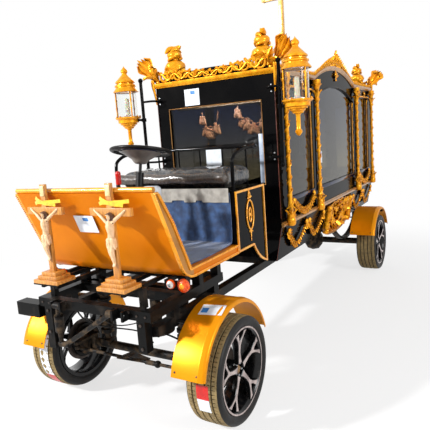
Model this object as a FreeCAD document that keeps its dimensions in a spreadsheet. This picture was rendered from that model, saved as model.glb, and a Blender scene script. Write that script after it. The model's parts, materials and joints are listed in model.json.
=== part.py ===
import FreeCAD, Part
import math
import os
import re

import Sketcher
from FreeCAD import Placement, Rotation, Vector

# A self-propelled, carriage-bodied hearse in millimetres.
# +X is forward, +Y is to the left, +Z is up. Pieces are drawn with x = 0 at the
# front axle, and each piece's Placement then moves it into the vehicle's frame.

doc = FreeCAD.newDocument("carriage_hearse")
dims = doc.addObject("Spreadsheet::Sheet", "dims")

sizes = [
    ("tyre_radius", 287),
    ("tyre_width", 195),
    ("tyre_sides", 60),
    ("bead_radius", 216),
    ("flange_radius", 228.5),
    ("rim_width", 178),
    ("rim_wall", 7),
    ("hub_radius", 44),
    ("spoke_width", 18),
    ("spoke_trunk", 14),
    ("spoke_fork", 66),
    ("spoke_crotch", 90),
    ("spoke_depth", 26),
    ("spoke_split", 46),
    ("front_wheel_y", 557.5),
    ("rear_wheel_y", 638.5),
    ("spindle_radius", 20),
    ("running_gap", 0.05),
    ("kingpin_y", 400),
    ("kingpin_radius", 11),
    ("kingpin_boss", 24),
    ("knuckle_ear", 16),
    ("arm_reach", 150),
    ("tie_rod_radius", 9),
    ("tie_pin_radius", 7),
    ("front_axle_radius", 25),
    ("rear_axle_radius", 32),
    ("spring_width", 50),
    ("spring_leaf", 9),
    ("spring_span", 840),
    ("rail_size", 50),
    ("lower_rail_z", 570),
    ("upper_rail_z", 661),
    ("beam_front_x", 397),
    ("upper_rail_rear_x", -310),
    ("front_post_bottom_z", 500),
    ("floor_top_z", 862),
    ("floor_thick", 24),
    ("sill_depth", 47),
    ("sill_width", 30),
    ("dash_thick", 20),
    ("dash_roll_radius", 13),
    ("seat_front_x", -385),
    ("seat_rear_x", -785),
    ("seat_top_z", 1180),
    ("seat_board", 18),
    ("seat_tail_z", 665),
    ("cushion_height", 95),
    ("seat_rail_z", 1430),
    ("seat_rail_radius", 11),
    ("wheel_centre_x", -130),
    ("wheel_centre_z", 1450),
    ("hand_wheel_radius", 165),
    ("hand_wheel_rim", 14),
    ("column_tilt", 12),
    ("column_radius", 22),
    ("body_front_x", -1000),
    ("body_length", 2850),
    ("body_half_width", 485),
    ("belt_z", 845),
    ("skirt_bottom_z", 600),
    ("skirt_tuck", 49),
    ("eave_z", 1940),
    ("wall", 28),
    ("deck_top_z", 905),
    ("deck_thick", 25),
    ("window_sill_z", 1030),
    ("roof_thick", 20),
    ("roof_rise", 55),
    ("arch_rise", 120),
    ("middle_window_spring_z", 1750),
    ("middle_window_rise", 115),
    ("small_window_top_z", 1800),
    ("column_clear", 60),
    ("middle_clear", 35),
    ("arch_margin", 10),
    ("front_corner", 104),
    ("door_jamb", 87),
    ("front_window_sill_z", 1150),
    ("front_window_top_z", 1730),
    ("glass_thick", 5),
    ("door_sill_z", 915),
    ("door_top_z", 1790),
    ("door_thick", 30),
    ("door_gap", 5),
    ("door_stile", 62),
    ("hinge_radius", 9),
    ("column_shaft_radius", 19),
    ("column_base_radius", 34),
    ("column_pitch", 680),
    ("column_inset", 100),
    ("moulding_out", 22),
    ("moulding_height", 34),
    ("crest_thick", 12),
    ("crest_low", 20),
    ("crest_high", 46),
    ("finial_radius", 78),
    ("finial_height", 235),
    ("finial_inset", 105),
    ("cross_top_z", 2960),
    ("cross_bar", 38),
    ("cross_arm", 190),
    ("lantern_x", -880),
    ("lantern_glass_z", 1700),
    ("lantern_pole_x", -905),
    ("lantern_pole_radius", 12),
    ("fender_radius", 375),
    ("fender_sheet", 4),
    ("crucifix_x", 410),
    ("crucifix_y", 220),
    ("crucifix_base_z", 818),
    ("crucifix_base_length", 127),
    ("crucifix_base_width", 175),
    ("crucifix_height", 510),
    ("crucifix_post_width", 34),
    ("crucifix_post_depth", 20),
    ("crucifix_arm_span", 250),
    ("shelf_plate", 6),
    ("motor_radius", 78),
    ("motor_length", 300),
    ("motor_bottom_z", 410),
    ("servo_radius", 95),
    ("boss_half", 38),
    ("tie_drop", 20),
    ("damper_y", 285),
    ("leaf_inset", 22),
    ("leaf_height", 200),
    ("shoulder", 24),
    ("cornice_z", 1895),
    ("door_lift", 1),
    ("rear_overhang", 763),
    ("motor_ahead", 827),
    ("rail_inset", 103),
    ("cab_inset", 29),
    ("finial_side", 120),
    ("pole_out", 71),
    ("lantern_arm", 128),
    ("pole_foot_z", 1300),
    ("pole_length", 650),
    ("front_fender_gap", 58),
    ("front_fender_short", 30),
    ("rear_fender_gap", 15),
    ("rear_fender_over", 6),
    ("dash_foot_x", 110),
    ("dash_knee_x", 212),
    ("dash_knee_z", 872),
    ("dash_top_x", 372),
    ("dash_top_z", 1278),
    ("dash_round", 125),
    ("band_top", 37),
    ("bead", 9),
    ("servo_x", 90),
    ("servo_y", 175),
    ("lamp_x", 200),
    ("lamp_z", 795),
    ("lamp_gap", 76),
    ("small_lamp_radius", 22),
    ("large_lamp_radius", 30),
    ("link_y", 210),
    ("link_eye_x", 422),
    ("link_eye_z", 688),
    ("foot_eye_x", 372),
    ("foot_eye_z", 447),
    ("lug", 12),
    ("lug_gap", 26),
    ("swag_radius", 16),
    ("swag_half", 190),
    ("swag_drop", 140),
    ("swag_pitch", 435),
    ("sill_swag_half", 235),
    ("sill_swag_drop", 100),
    ("badge_half", 400),
    ("badge_height", 250),
    ("leaf_reach", 118),
    ("leaf_thick", 40),
    ("lantern_radius", 88),
    ("lantern_bottom_z", 1471),
    ("lantern_cap_z", 1885),
    ("lantern_top_z", 2080),
    ("candle_height", 150),
]

for row, (alias, value) in enumerate(sizes, 1):
    dims.set("A%d" % row, alias.replace("_", " "))
    dims.set("B%d" % row, str(value))
    dims.setAlias("B%d" % row, alias)
doc.recompute()

# Lengths and places that follow from the sizes in the sheet.
derived = {
    "front_reach": "crucifix_x + crucifix_base_length / 2",
    "leaf_out": "(leaf_reach + leaf_thick / 2) * sqrt(0.5) - leaf_inset",
    "rear_reach": "body_length - body_front_x + leaf_out",
    "front_axle_x": "(rear_reach - front_reach) / 2",
    "axle_z": "tyre_radius",
    "lower_rail_top": "lower_rail_z + rail_size",
    "upper_rail_top": "upper_rail_z + rail_size",
    "wheelbase": "body_length - body_front_x - rear_overhang",
    "motor_x": "motor_ahead - wheelbase",
    "body_rear_x": "body_front_x - body_length",
    "rail_outer_y": "body_half_width - rail_inset",
    "cab_half_width": "body_half_width - cab_inset",
    "front_window_half": "body_half_width - front_corner",
    "door_half_width": "body_half_width - door_jamb",
    "finial_y": "body_half_width - finial_side",
    "lantern_pole_y": "body_half_width + pole_out",
    "lantern_y": "lantern_pole_y + lantern_arm",
    "small_window_x": "body_front_x - column_inset - column_pitch / 2",
    "small_window_length": "column_pitch - 2 * column_clear",
    "middle_window_half": "body_length / 2 - column_inset - column_pitch - middle_clear",
    "arch_half_span": "middle_window_half + arch_margin",
    "front_fender_inner_y": "rail_outer_y + front_fender_gap",
    "front_fender_outer_y": "front_wheel_y + tyre_width / 2 - front_fender_short",
    "rear_fender_inner_y": "body_half_width + rear_fender_gap",
    "rear_fender_outer_y": "rear_wheel_y + tyre_width / 2 + rear_fender_over",
    "lamp_inner_y": "cab_half_width - lamp_gap",
    "lamp_outer_y": "cab_half_width - 1",
    "body_centre_x": "body_front_x - body_length / 2",
    "rail_inner_y": "rail_outer_y - rail_size",
    "inner_half_width": "body_half_width - wall",
    "floor_bottom": "floor_top_z - floor_thick",
    "sill_bottom": "floor_top_z - sill_depth",
}

alias_pattern = re.compile(r"\b(%s)\b" % "|".join(name for name, value in sizes))
derived_pattern = re.compile(r"\b(%s)\b" % "|".join(derived))


def rule(text):
    """Write a size in words as an expression on the sheet."""
    text = str(text)
    while derived_pattern.search(text):
        text = derived_pattern.sub(lambda found: "(%s)" % derived[found.group(1)], text)
    return alias_pattern.sub(r"dims.\1", text)


def value(text):
    """Work out a size in words as a number, for shapes made in code."""
    result = dims.evalExpression(rule(text))
    return float(getattr(result, "Value", result))


def point(x, y, z):
    return Vector(value(x), value(y), value(z))


def bind(thing, **rules):
    for name, text in rules.items():
        thing.setExpression(name.replace("__", "."), rule(text))


nodes = []


def node(thing, label):
    """Name a finished sub-part and move it into the vehicle's frame."""
    thing.Label = label
    bind(thing, Placement__Base__x="front_axle_x")
    nodes.append(thing)
    return thing


def shape_node(label, shape):
    """A sub-part whose shape is made with Part's own functions."""
    thing = doc.addObject("Part::Feature", label)
    thing.Shape = Part.makeCompound(shape.Solids)
    return node(thing, label)


def block(name, x, y, z):
    """A box given by its low and high ends along each axis."""
    box = doc.addObject("Part::Box", name)
    bind(box, Length="(%s) - (%s)" % (x[1], x[0]), Width="(%s) - (%s)" % (y[1], y[0]))
    bind(box, Height="(%s) - (%s)" % (z[1], z[0]))
    bind(box, Placement__Base__x=x[0], Placement__Base__y=y[0], Placement__Base__z=z[0])
    return box


turns = {
    "x": Rotation(Vector(0, 1, 0), 90),
    "y": Rotation(Vector(1, 0, 0), -90),
    "z": Rotation(),
}


def cylinder(name, radius, length, x, y, z, along="z"):
    """A cylinder from a base point, along one axis."""
    rod = doc.addObject("Part::Cylinder", name)
    rod.Placement.Rotation = turns[along]
    bind(rod, Radius=radius, Height=length)
    bind(rod, Placement__Base__x=x, Placement__Base__y=y, Placement__Base__z=z)
    return rod


def fuse(name, pieces):
    joined = doc.addObject("Part::MultiFuse", name)
    joined.Shapes = pieces
    joined.Refine = False
    return joined


def span(low, high, side):
    """A range across the vehicle, kept in rising order on either side."""
    if side > 0:
        return (low, high)
    return ("-(%s)" % high, "-(%s)" % low)


def make_body(name):
    body = doc.addObject("PartDesign::Body", name)
    body.AllowCompound = True
    return body


def outline(body, name, plane, points, offset="0"):
    """A closed sketch on one of the body's own planes.

    Each point is (across, up) or (across, up, radius): a radius bends the edge that
    starts there into an arc, to the left of its direction if the radius is positive.
    """
    sketch = body.newObject("Sketcher::SketchObject", name)
    origin = [item for item in body.Origin.OriginFeatures if item.Role == plane][0]
    sketch.AttachmentSupport = [(origin, "")]
    sketch.MapMode = "FlatFace"
    sketch.setExpression("AttachmentOffset.Base.z", rule(offset))
    places = [Vector(value(item[0]), value(item[1]), 0) for item in points]
    for index, item in enumerate(points):
        start, end = places[index], places[(index + 1) % len(places)]
        if len(item) == 3:
            sketch.addGeometry(arc_between(start, end, value(item[2])))
        else:
            sketch.addGeometry(Part.LineSegment(start, end))
    for index, item in enumerate(points):
        following = (index + 1) % len(points)
        here = 1
        there = 1
        before = 2
        if len(item) == 3 and value(item[2]) < 0:
            here, before = 2, 1
        if len(points[following]) == 3 and value(points[following][2]) < 0:
            there = 2
        sketch.addConstraint(Sketcher.Constraint("Coincident", index, before, following, there))
        for word, text in (("DistanceX", item[0]), ("DistanceY", item[1])):
            number = value(text)
            place = sketch.addConstraint(Sketcher.Constraint(word, -1, 1, index, here, number))
            sketch.setExpression("Constraints[%d]" % place, rule(text))
        if len(item) == 3:
            radius = abs(value(item[2]))
            place = sketch.addConstraint(Sketcher.Constraint("Radius", index, radius))
            sketch.setExpression("Constraints[%d]" % place, "abs(%s)" % rule(item[2]))
    return sketch


def arc_between(start, end, radius):
    """The shorter arc between two points; its centre is left of the way if radius > 0."""
    chord = end - start
    half = chord.Length / 2
    rise = math.sqrt(max(radius * radius - half * half, 0))
    side = Vector(-chord.y, chord.x, 0).normalize()
    centre = (start + end) / 2 + side * (rise if radius > 0 else -rise)
    first = math.atan2(start.y - centre.y, start.x - centre.x)
    last = math.atan2(end.y - centre.y, end.x - centre.x)
    circle = Part.Circle(centre, Vector(0, 0, 1), abs(radius))
    if radius > 0:
        return Part.ArcOfCircle(circle, first, last)
    return Part.ArcOfCircle(circle, last, first)


def pad(body, sketch, length, midplane=False):
    feature = body.newObject("PartDesign::Pad", sketch.Name + "_pad")
    feature.Profile = sketch
    bind(feature, Length=length)
    feature.Midplane = midplane
    return feature


def pocket(body, sketch):
    """Cut a sketch right through, both ways from its plane."""
    feature = body.newObject("PartDesign::Pocket", sketch.Name + "_pocket")
    feature.Profile = sketch
    feature.Type = "ThroughAll"
    feature.Midplane = True
    return feature


def spin(body, sketch, axis, angle="360"):
    feature = body.newObject("PartDesign::Revolution", sketch.Name + "_spin")
    feature.Profile = sketch
    feature.ReferenceAxis = (sketch, [axis])
    bind(feature, Angle=angle)
    return feature


def around(body, features, sketch, axis, count):
    pattern = body.newObject("PartDesign::PolarPattern", body.Name + "_ring")
    pattern.Originals = features
    pattern.Axis = (sketch, [axis])
    pattern.Angle = 360
    pattern.Occurrences = count
    body.Tip = pattern
    return pattern


def stick(start, end, radius):
    """A round bar between two points."""
    return Part.makeCylinder(radius, (end - start).Length, start, end - start)


def tube_path(points, radius, bend):
    """A round bar bent through points, with a rounded corner at each inner point."""
    edges = []
    here = points[0]
    for index in range(1, len(points) - 1):
        corner = points[index]
        into = (corner - points[index - 1]).normalize()
        out = (points[index + 1] - corner).normalize()
        turn = into.getAngle(out)
        reach = bend * math.tan(turn / 2)
        first = corner - into * reach
        last = corner + out * reach
        middle = corner + (out - into).normalize() * (bend / math.cos(turn / 2) - bend)
        edges.append(Part.LineSegment(here, first).toShape())
        edges.append(Part.Arc(first, middle, last).toShape())
        here = last
    edges.append(Part.LineSegment(here, points[-1]).toShape())
    path = Part.Wire(edges)
    start = points[0]
    circle = Part.Wire(Part.makeCircle(radius, start, points[1] - start))
    return path.makePipeShell([circle], True, False)


def turned(profile, centre):
    """A solid turned about a vertical axis from (radius, height) points."""
    places = [Vector(radius, 0, height) for radius, height in profile]
    face = Part.Face(Part.makePolygon(places + places[:1]))
    solid = face.revolve(Vector(0, 0, 0), Vector(0, 0, 1), 360)
    solid.translate(centre)
    return solid


def mirrored(shape):
    """The same shape on the other side of the vehicle."""
    return shape.mirror(Vector(0, 0, 0), Vector(0, 1, 0))


SIDES = (("left", 1), ("right", -1))


def make_chassis_frame():
    """Welded square tube: low main rails, a raised front frame, posts and shelf arms."""
    pieces = []
    back = "body_rear_x + 60"
    tube = "rail_size"
    for word, side in SIDES:
        across = span("rail_inner_y", "rail_outer_y", side)
        pieces.append(block("low_rail_" + word, (back, "beam_front_x - rail_size"), across,
                            ("lower_rail_z", "lower_rail_top")))
        pieces.append(block("high_rail_" + word, ("upper_rail_rear_x", "beam_front_x - rail_size"),
                            across, ("upper_rail_z", "upper_rail_top")))
        pieces.append(block("front_post_" + word, ("beam_front_x - rail_size", "beam_front_x"),
                            span("rail_outer_y - 90", "rail_outer_y - 40", side),
                            ("front_post_bottom_z", "upper_rail_z")))
        pieces.append(block("shelf_post_" + word, ("beam_front_x - 67", "beam_front_x - 37"),
                            span("rail_outer_y - 90", "rail_outer_y - 60", side),
                            ("upper_rail_top", "crucifix_base_z - shelf_plate")))
        pieces.append(block("shelf_tie_" + word, ("beam_front_x - 67", "beam_front_x - 37"),
                            span("crucifix_y + 40", "rail_outer_y - 60", side),
                            ("crucifix_base_z - shelf_plate - 20", "crucifix_base_z - shelf_plate")))
        for index, start in enumerate(("link_y - lug_gap - lug", "link_y + lug_gap")):
            pieces.append(block("beam_lug_%s_%d" % (word, index), ("beam_front_x", "beam_front_x + 44"),
                                span(start, start + " + lug", side), ("link_eye_z - 26", "link_eye_z + 24")))
        bolt = "link_y + lug_gap + lug"
        pieces.append(cylinder("beam_bolt_" + word, "17", "8", "link_eye_x",
                               bolt if side > 0 else "-(%s) - 8" % bolt, "link_eye_z", "y"))
        for index, start in enumerate(("upper_rail_rear_x + 60", "160")):
            pieces.append(block("rail_post_%s_%d" % (word, index), (start, start + " + " + tube),
                                across, ("lower_rail_top", "upper_rail_z")))
        for index, start in enumerate(("upper_rail_rear_x + 20", "-90", "40")):
            pieces.append(block("floor_leg_%s_%d" % (word, index), (start, start + " + 40"),
                                across, ("upper_rail_top", "floor_bottom")))
    pieces.append(block("front_beam", ("beam_front_x - rail_size", "beam_front_x"),
                        ("-rail_outer_y", "rail_outer_y"), ("upper_rail_z", "upper_rail_top")))
    between = ("-rail_inner_y", "rail_inner_y")
    for index, start in enumerate(("-rail_size / 2", "servo_x - rail_size / 2", "upper_rail_rear_x")):
        pieces.append(block("high_cross_%d" % index, (start, start + " + " + tube), between,
                            ("upper_rail_z", "upper_rail_top")))
    crosses = ("upper_rail_rear_x + 60", "body_front_x - 60", "motor_x + 60", "motor_x - 110",
               "-wheelbase + 250", "-wheelbase - 330", back)
    for index, start in enumerate(crosses):
        pieces.append(block("low_cross_%d" % index, (start, start + " + " + tube), between,
                            ("lower_rail_z", "lower_rail_top")))
    pieces.append(block("post_foot", ("beam_front_x - rail_size", "beam_front_x"),
                        ("-rail_outer_y + 40", "-rail_outer_y + 90"),
                        ("foot_eye_z - 22", "front_post_bottom_z")))
    pieces.append(block("side_stub", ("beam_front_x - 62", "beam_front_x + 8"),
                        ("-rail_outer_y - 178", "-rail_outer_y"), ("upper_rail_z - 69", "upper_rail_z + 7")))
    shelf_top = "crucifix_base_z"
    arm_top = "crucifix_base_z - shelf_plate"
    pieces.append(block("shelf_bar", ("40", "80"), ("-rail_outer_y", "rail_outer_y"),
                        (arm_top + " - 20", arm_top)))
    for word, side in SIDES:
        middle = "crucifix_y" if side > 0 else "-crucifix_y"
        half = "crucifix_base_width / 2"
        pieces.append(block("shelf_" + word, ("crucifix_x - crucifix_base_length / 2",
                                              "crucifix_x + crucifix_base_length / 2"),
                            (middle + " - " + half, middle + " + " + half), (arm_top, shelf_top)))
        for index, place in enumerate(("- 60", "+ 40")):
            low = middle + " " + place
            pieces.append(block("shelf_arm_%s_%d" % (word, index),
                                ("80", "crucifix_x + 40"), (low, low + " + 20"),
                                (arm_top + " - 20", arm_top)))
        pieces.append(block("lamp_plate_" + word, ("lamp_x - 8", "lamp_x"),
                            span("rail_inner_y", "lamp_outer_y + 8", side),
                            ("lamp_z - 34", "lamp_z + 17")))
        pieces.append(block("lamp_arm_" + word, ("80", "lamp_x - 8"),
                            span("rail_inner_y", "rail_inner_y + 20", side),
                            (arm_top + " - 20", arm_top)))
    return node(fuse("chassis_tubes", pieces), "chassis_frame")


def make_front_axle():
    """A round beam with a kingpin boss and pin at each end, and damper seats."""
    end = "kingpin_y - kingpin_boss + 4"
    pieces = [cylinder("axle_beam", "front_axle_radius", "2 * (%s)" % end, "0", "-(%s)" % end,
                       "axle_z", "y")]
    for word, side in SIDES:
        place = "kingpin_y" if side > 0 else "-kingpin_y"
        pieces.append(cylinder("boss_" + word, "kingpin_boss", "2 * boss_half", "0", place,
                               "axle_z - boss_half"))
        pin_half = "boss_half + knuckle_ear + 8"
        pieces.append(cylinder("kingpin_" + word, "kingpin_radius", "2 * (%s)" % pin_half, "0",
                               place, "axle_z - (%s)" % pin_half))
        across = span("damper_y - 35", "damper_y + 35", side)
        pieces.append(block("damper_seat_" + word, ("-35", "35"), across,
                            ("axle_z + 10", "axle_z + front_axle_radius + 12")))
    return node(fuse("axle_parts", pieces), "front_axle")


def make_knuckle(word, side):
    """A forked upright with its wheel spindle, brake plate and steering arm."""
    centre = point("0", "kingpin_y", "axle_z") if side > 0 else point("0", "-kingpin_y", "axle_z")
    ear = value("knuckle_ear")
    near = value("boss_half") + 3
    reach = 34
    parts = []
    for low in (near, -near - ear):
        parts.append(Part.makeCylinder(26, ear, centre + Vector(0, 0, low)))
        parts.append(Part.makeBox(44, reach, ear, centre + Vector(-22, 0 if side > 0 else -reach, low)))
    stand = 2 * (near + ear)
    parts.append(Part.makeBox(60, 18, stand, centre + Vector(-30, 30 if side > 0 else -48, -stand / 2)))
    outer = value("abs(front_wheel_y) - kingpin_y") + 46
    parts.append(stick(centre + Vector(0, 40 * side, 0), centre + Vector(0, outer * side, 0),
                       value("spindle_radius")))
    parts.append(stick(centre + Vector(0, 47 * side, 0), centre + Vector(0, 60 * side, 0), 88))
    arm = value("arm_reach")
    parts.append(Part.makeBox(arm, 34, ear, centre + Vector(0, -17, near)))
    parts.append(Part.makeCylinder(17, ear, centre + Vector(arm, 0, near)))
    body = parts[0].fuse(parts[1:])
    hole = Part.makeCylinder(value("kingpin_radius + running_gap"), stand + 20,
                             centre + Vector(0, 0, -stand / 2 - 10))
    body = body.cut(hole)
    pin = Part.makeCylinder(value("tie_pin_radius"), value("tie_drop") + 20,
                            centre + Vector(arm, 0, near - value("tie_drop") - 12))
    return shape_node("knuckle_" + word, body.fuse(pin).removeSplitter())


def make_tie_rod():
    """A straight rod with an eye round each steering arm's pin."""
    level = value("axle_z + boss_half + 3 - tie_drop")
    across = value("kingpin_y")
    reach = value("arm_reach")
    rod = stick(Vector(reach, -across, level), Vector(reach, across, level), value("tie_rod_radius"))
    for side in (1, -1):
        rod = rod.fuse(Part.makeCylinder(16, 20, Vector(reach, side * across, level - 10)))
    plate = Part.makePolygon([Vector(reach - 75, -40, level - 3), Vector(reach - 40, 120, level - 3),
                              Vector(reach + 12, 120, level - 3), Vector(reach + 25, -70, level - 3),
                              Vector(reach - 75, -40, level - 3)])
    rod = rod.fuse(Part.Face(plate).extrude(Vector(0, 0, 7)))
    rod = rod.fuse([stick(Vector(reach, 120, level), Vector(reach, 190, level), 14),
                    Part.makeSphere(20, Vector(reach, 200, level))])
    for side, gap in ((1, value("running_gap")), (-1, 0.5)):
        hole = Part.makeCylinder(value("tie_pin_radius") + gap, 60, Vector(reach, side * across, level - 30))
        rod = rod.cut(hole)
    return shape_node("tie_rod", rod.removeSplitter())


def make_rear_axle():
    """A live axle: tube, round final drive case, wheel spindles and propeller shaft."""
    x = value("-wheelbase")
    level = value("axle_z")
    half = value("rear_wheel_y") - 100
    tip = value("rear_wheel_y") + 46
    axle = stick(Vector(x, -half, level), Vector(x, half, level), value("rear_axle_radius"))
    axle = axle.fuse(stick(Vector(x, -tip, level), Vector(x, tip, level), value("spindle_radius")))
    case = turned([(0, -95), (60, -90), (104, -55), (116, 0), (104, 55), (60, 90), (0, 95)], Vector(0, 0, 0))
    case.rotate(Vector(0, 0, 0), Vector(1, 0, 0), 90)
    case.translate(Vector(x, 0, level))
    motor_end = point("motor_x - motor_length / 2 - 7", "0", "motor_bottom_z + motor_radius")
    shaft = stick(Vector(x + 60, 0, level + 12), motor_end, 22)
    return shape_node("rear_axle", axle.fuse([case, shaft]).removeSplitter())


def make_drive_motor():
    """The electric drive motor, one plain drum hung under the body on two straps."""
    body = cylinder("motor_drum", "motor_radius", "motor_length", "motor_x - motor_length / 2", "0",
                    "motor_bottom_z + motor_radius", "x")
    hangers = [block("motor_hanger_%d" % index, (start, start + " + rail_size"), ("-40", "40"),
                     ("motor_bottom_z + motor_radius", "lower_rail_z"))
               for index, start in enumerate(("motor_x + 60", "motor_x - 110"))]
    return node(fuse("motor_parts", [body] + hangers), "drive_motor")


def make_suspension():
    """Coil-over dampers in front; leaf springs with hangers and clamps behind."""
    parts = []
    low = value("axle_z + front_axle_radius + 12")
    high = value("upper_rail_z")
    profile = [(0, 0), (18, 0), (18, 40), (40, 44)]
    coils = 6
    pitch = (high - low - 104) / coils
    for index in range(coils):
        start = 50 + index * pitch
        profile += [(40, start), (40, start + pitch * 0.45), (26, start + pitch * 0.5),
                    (26, start + pitch * 0.95)]
    profile += [(40, high - low - 46), (40, high - low - 38), (14, high - low - 34),
                (14, high - low), (0, high - low)]
    for side in (1, -1):
        parts.append(turned(profile, Vector(0, side * value("damper_y"), low)))
    parts += front_links()
    half = value("spring_span / 2")
    eye_z = value("lower_rail_z") - 110
    base_z = value("axle_z + rear_axle_radius")
    pack_depth = 3 * value("spring_leaf")
    width = value("spring_width")
    x = value("-wheelbase")
    inner = value("rail_inner_y")
    for side in (1, -1):
        start = inner if side > 0 else -inner - width
        outer_arc = Part.Arc(Vector(-half, 0, eye_z), Vector(0, 0, base_z), Vector(half, 0, eye_z))
        inner_arc = Part.Arc(Vector(-half, 0, eye_z + pack_depth), Vector(0, 0, base_z + pack_depth),
                             Vector(half, 0, eye_z + pack_depth))
        ends = [Part.LineSegment(Vector(sign * half, 0, eye_z), Vector(sign * half, 0, eye_z + pack_depth))
                for sign in (1, -1)]
        wire = Part.Wire([outer_arc.toShape(), ends[0].toShape(), inner_arc.toShape(), ends[1].toShape()])
        leaf = Part.Face(wire).extrude(Vector(0, width, 0))
        for sign in (1, -1):
            hanger = Part.makeBox(30, width, value("lower_rail_z") - eye_z,
                                  Vector(sign * half - 15, 0, eye_z))
            leaf = leaf.fuse(hanger)
        leaf.translate(Vector(x, start, 0))
        parts.append(leaf.removeSplitter())
    return shape_node("suspension", Part.makeCompound(parts))


def front_links():
    """A damper and a diagonal link from the beam's lugs to one pin on the right-hand post."""
    side = Vector(0, 1, 0)
    eye = 36
    post = point("foot_eye_x", "90 - rail_outer_y", "foot_eye_z")
    foot = post + side * (eye / 2)
    gap = value("lug_gap")
    top = point("link_eye_x", "-link_y", "link_eye_z")
    sleeve = [top + (foot - top) * share for share in (0.25, 0.65)]
    damper = Part.makeCylinder(19, 2 * gap, top - side * gap, side)
    damper = damper.fuse([stick(top, foot, 13), stick(*sleeve, 25), Part.makeCylinder(17, eye, post, side)])
    start = point("link_eye_x", "link_y - lug_gap - lug", "link_eye_z")
    end = foot + side * eye
    link = Part.makeCylinder(19, eye, start - side * eye, side)
    foot_eye = Part.makeCylinder(17, eye + 8, post + side * eye, side)
    link = link.fuse([stick(start - side * (eye / 2), end, 13), foot_eye])
    return [damper.removeSplitter(), link.removeSplitter()]


def make_brake_servo():
    """The round vacuum servo under the front frame, on its bracket."""
    centre = point("servo_x", "servo_y", "upper_rail_z")
    profile = [(0, -195), (60, -195), (value("servo_radius"), -185), (value("servo_radius"), -165),
               (60, -150), (30, -146), (30, 0), (0, 0)]
    return shape_node("brake_servo", turned(profile, centre))


def wheel_place(thing, label, x, y):
    """Set a wheel piece, drawn about its own centre, on its axle."""
    node(thing, label)
    bind(thing, Placement__Base__x="front_axle_x + (%s)" % x, Placement__Base__y=y,
         Placement__Base__z="axle_z")


def make_tyre(label, x, y):
    """A road tyre as a ring of flat sides, so that four of them stay light to draw."""
    sides = int(value("tyre_sides"))
    half = value("tyre_width / 2")
    seat = value("rim_width / 2 - rim_wall")
    outside = value("tyre_radius")
    bead = value("bead_radius") / math.cos(math.pi / sides)
    section = [(seat, bead), (seat, value("flange_radius + 3")), (half, value("bead_radius + 40")),
               (half, outside - 24), (half - 7, outside - 9), (half - value("shoulder"), outside)]
    section += [(-across, radius) for across, radius in reversed(section)]

    def corner(place, step):
        """A point of the section, turned about the axle line; one side ends at the bottom."""
        across, radius = place
        angle = 2 * math.pi * step / sides - math.pi / 2
        return Vector(radius * math.cos(angle), across, radius * math.sin(angle))

    faces = []
    for step in range(sides):
        for first, second in zip(section, section[1:] + section[:1]):
            ring = [corner(first, step), corner(second, step)]
            ring += [corner(second, step + 1), corner(first, step + 1)]
            faces.append(Part.Face(Part.makePolygon(ring + ring[:1])))
    thing = doc.addObject("Part::Feature", label)
    thing.Shape = Part.makeCompound([Part.makeSolid(Part.makeShell(faces))])
    wheel_place(thing, label, x, y)


def make_rim(label, x, y, side):
    """A cast wheel: drum, flanges, bored hub and five spokes that part into two."""
    body = make_body(label)
    half = "rim_width / 2"
    inner = "bead_radius - rim_wall"
    drum = [
        ("-" + half, inner),
        (half, inner),
        (half, "flange_radius"),
        (half + " - rim_wall", "flange_radius"),
        (half + " - rim_wall", "bead_radius"),
        ("-" + half + " + rim_wall", "bead_radius"),
        ("-" + half + " + rim_wall", "flange_radius"),
        ("-" + half, "flange_radius"),
    ]
    spin(body, outline(body, label + "_drum", "YZ_Plane", drum), "H_Axis")
    face = "%d * (rim_width / 2 - 34)" % side
    inside = "%d * (front_wheel_y - kingpin_y - 60)" % -side
    bore = "spindle_radius + running_gap"
    low, high = (inside, face) if side > 0 else (face, inside)
    hub = [(low, bore), (high, bore), (high, "hub_radius"), (low, "hub_radius")]
    spin(body, outline(body, label + "_hub", "YZ_Plane", hub), "H_Axis")
    tip = "bead_radius - rim_wall - 1"
    split = "spoke_split"
    wide = "spoke_width / 2"
    spoke = [
        ("-spoke_trunk - 6", "hub_radius - 8"),
        ("spoke_trunk + 6", "hub_radius - 8"),
        ("spoke_trunk", "hub_radius + spoke_fork"),
        (split + " + " + wide, tip + " - 4"),
        (split + " - " + wide, tip),
        ("0", "hub_radius + spoke_crotch"),
        (wide + " - " + split, tip),
        ("-" + split + " - " + wide, tip + " - 4"),
        ("-spoke_trunk", "hub_radius + spoke_fork"),
    ]
    depth = "%d * (rim_width / 2 - 30)" % -side
    sketch = outline(body, label + "_spoke", "XZ_Plane", spoke, depth)
    arm = pad(body, sketch, "spoke_depth", midplane=True)
    around(body, [arm], sketch, "N_Axis", 5)
    wheel_place(body, label, x, y)


def make_fender(name, centre_x, inner, outer, side, first, last):
    """An arched sheet over one wheel, with a rolled outer lip."""
    centre = point(centre_x, "0", "axle_z")
    radius = value("fender_radius")
    sheet = value("fender_sheet")
    low, high = value(inner), value(outer)

    def band(outside, inside, start, width):
        """Part of a ring between two radii, over the fender's angles."""
        bounds = []
        for size, turn in ((outside, (first, last)), (inside, (last, first))):
            middle = (first + last) / 2
            places = [centre + Vector(size * math.cos(math.radians(angle)), start,
                                      size * math.sin(math.radians(angle)))
                      for angle in (turn[0], middle, turn[1])]
            bounds.append(places)
        edges = [Part.Arc(*bounds[0]).toShape(), Part.LineSegment(bounds[0][2], bounds[1][0]).toShape(),
                 Part.Arc(*bounds[1]).toShape(), Part.LineSegment(bounds[1][2], bounds[0][0]).toShape()]
        return Part.Face(Part.Wire(edges)).extrude(Vector(0, width, 0))

    arch = band(radius, radius - sheet, low, high - low)
    lip = band(radius, radius - 16, high - sheet, sheet)
    shape = arch.fuse(lip)
    return shape if side > 0 else mirrored(shape)


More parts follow.
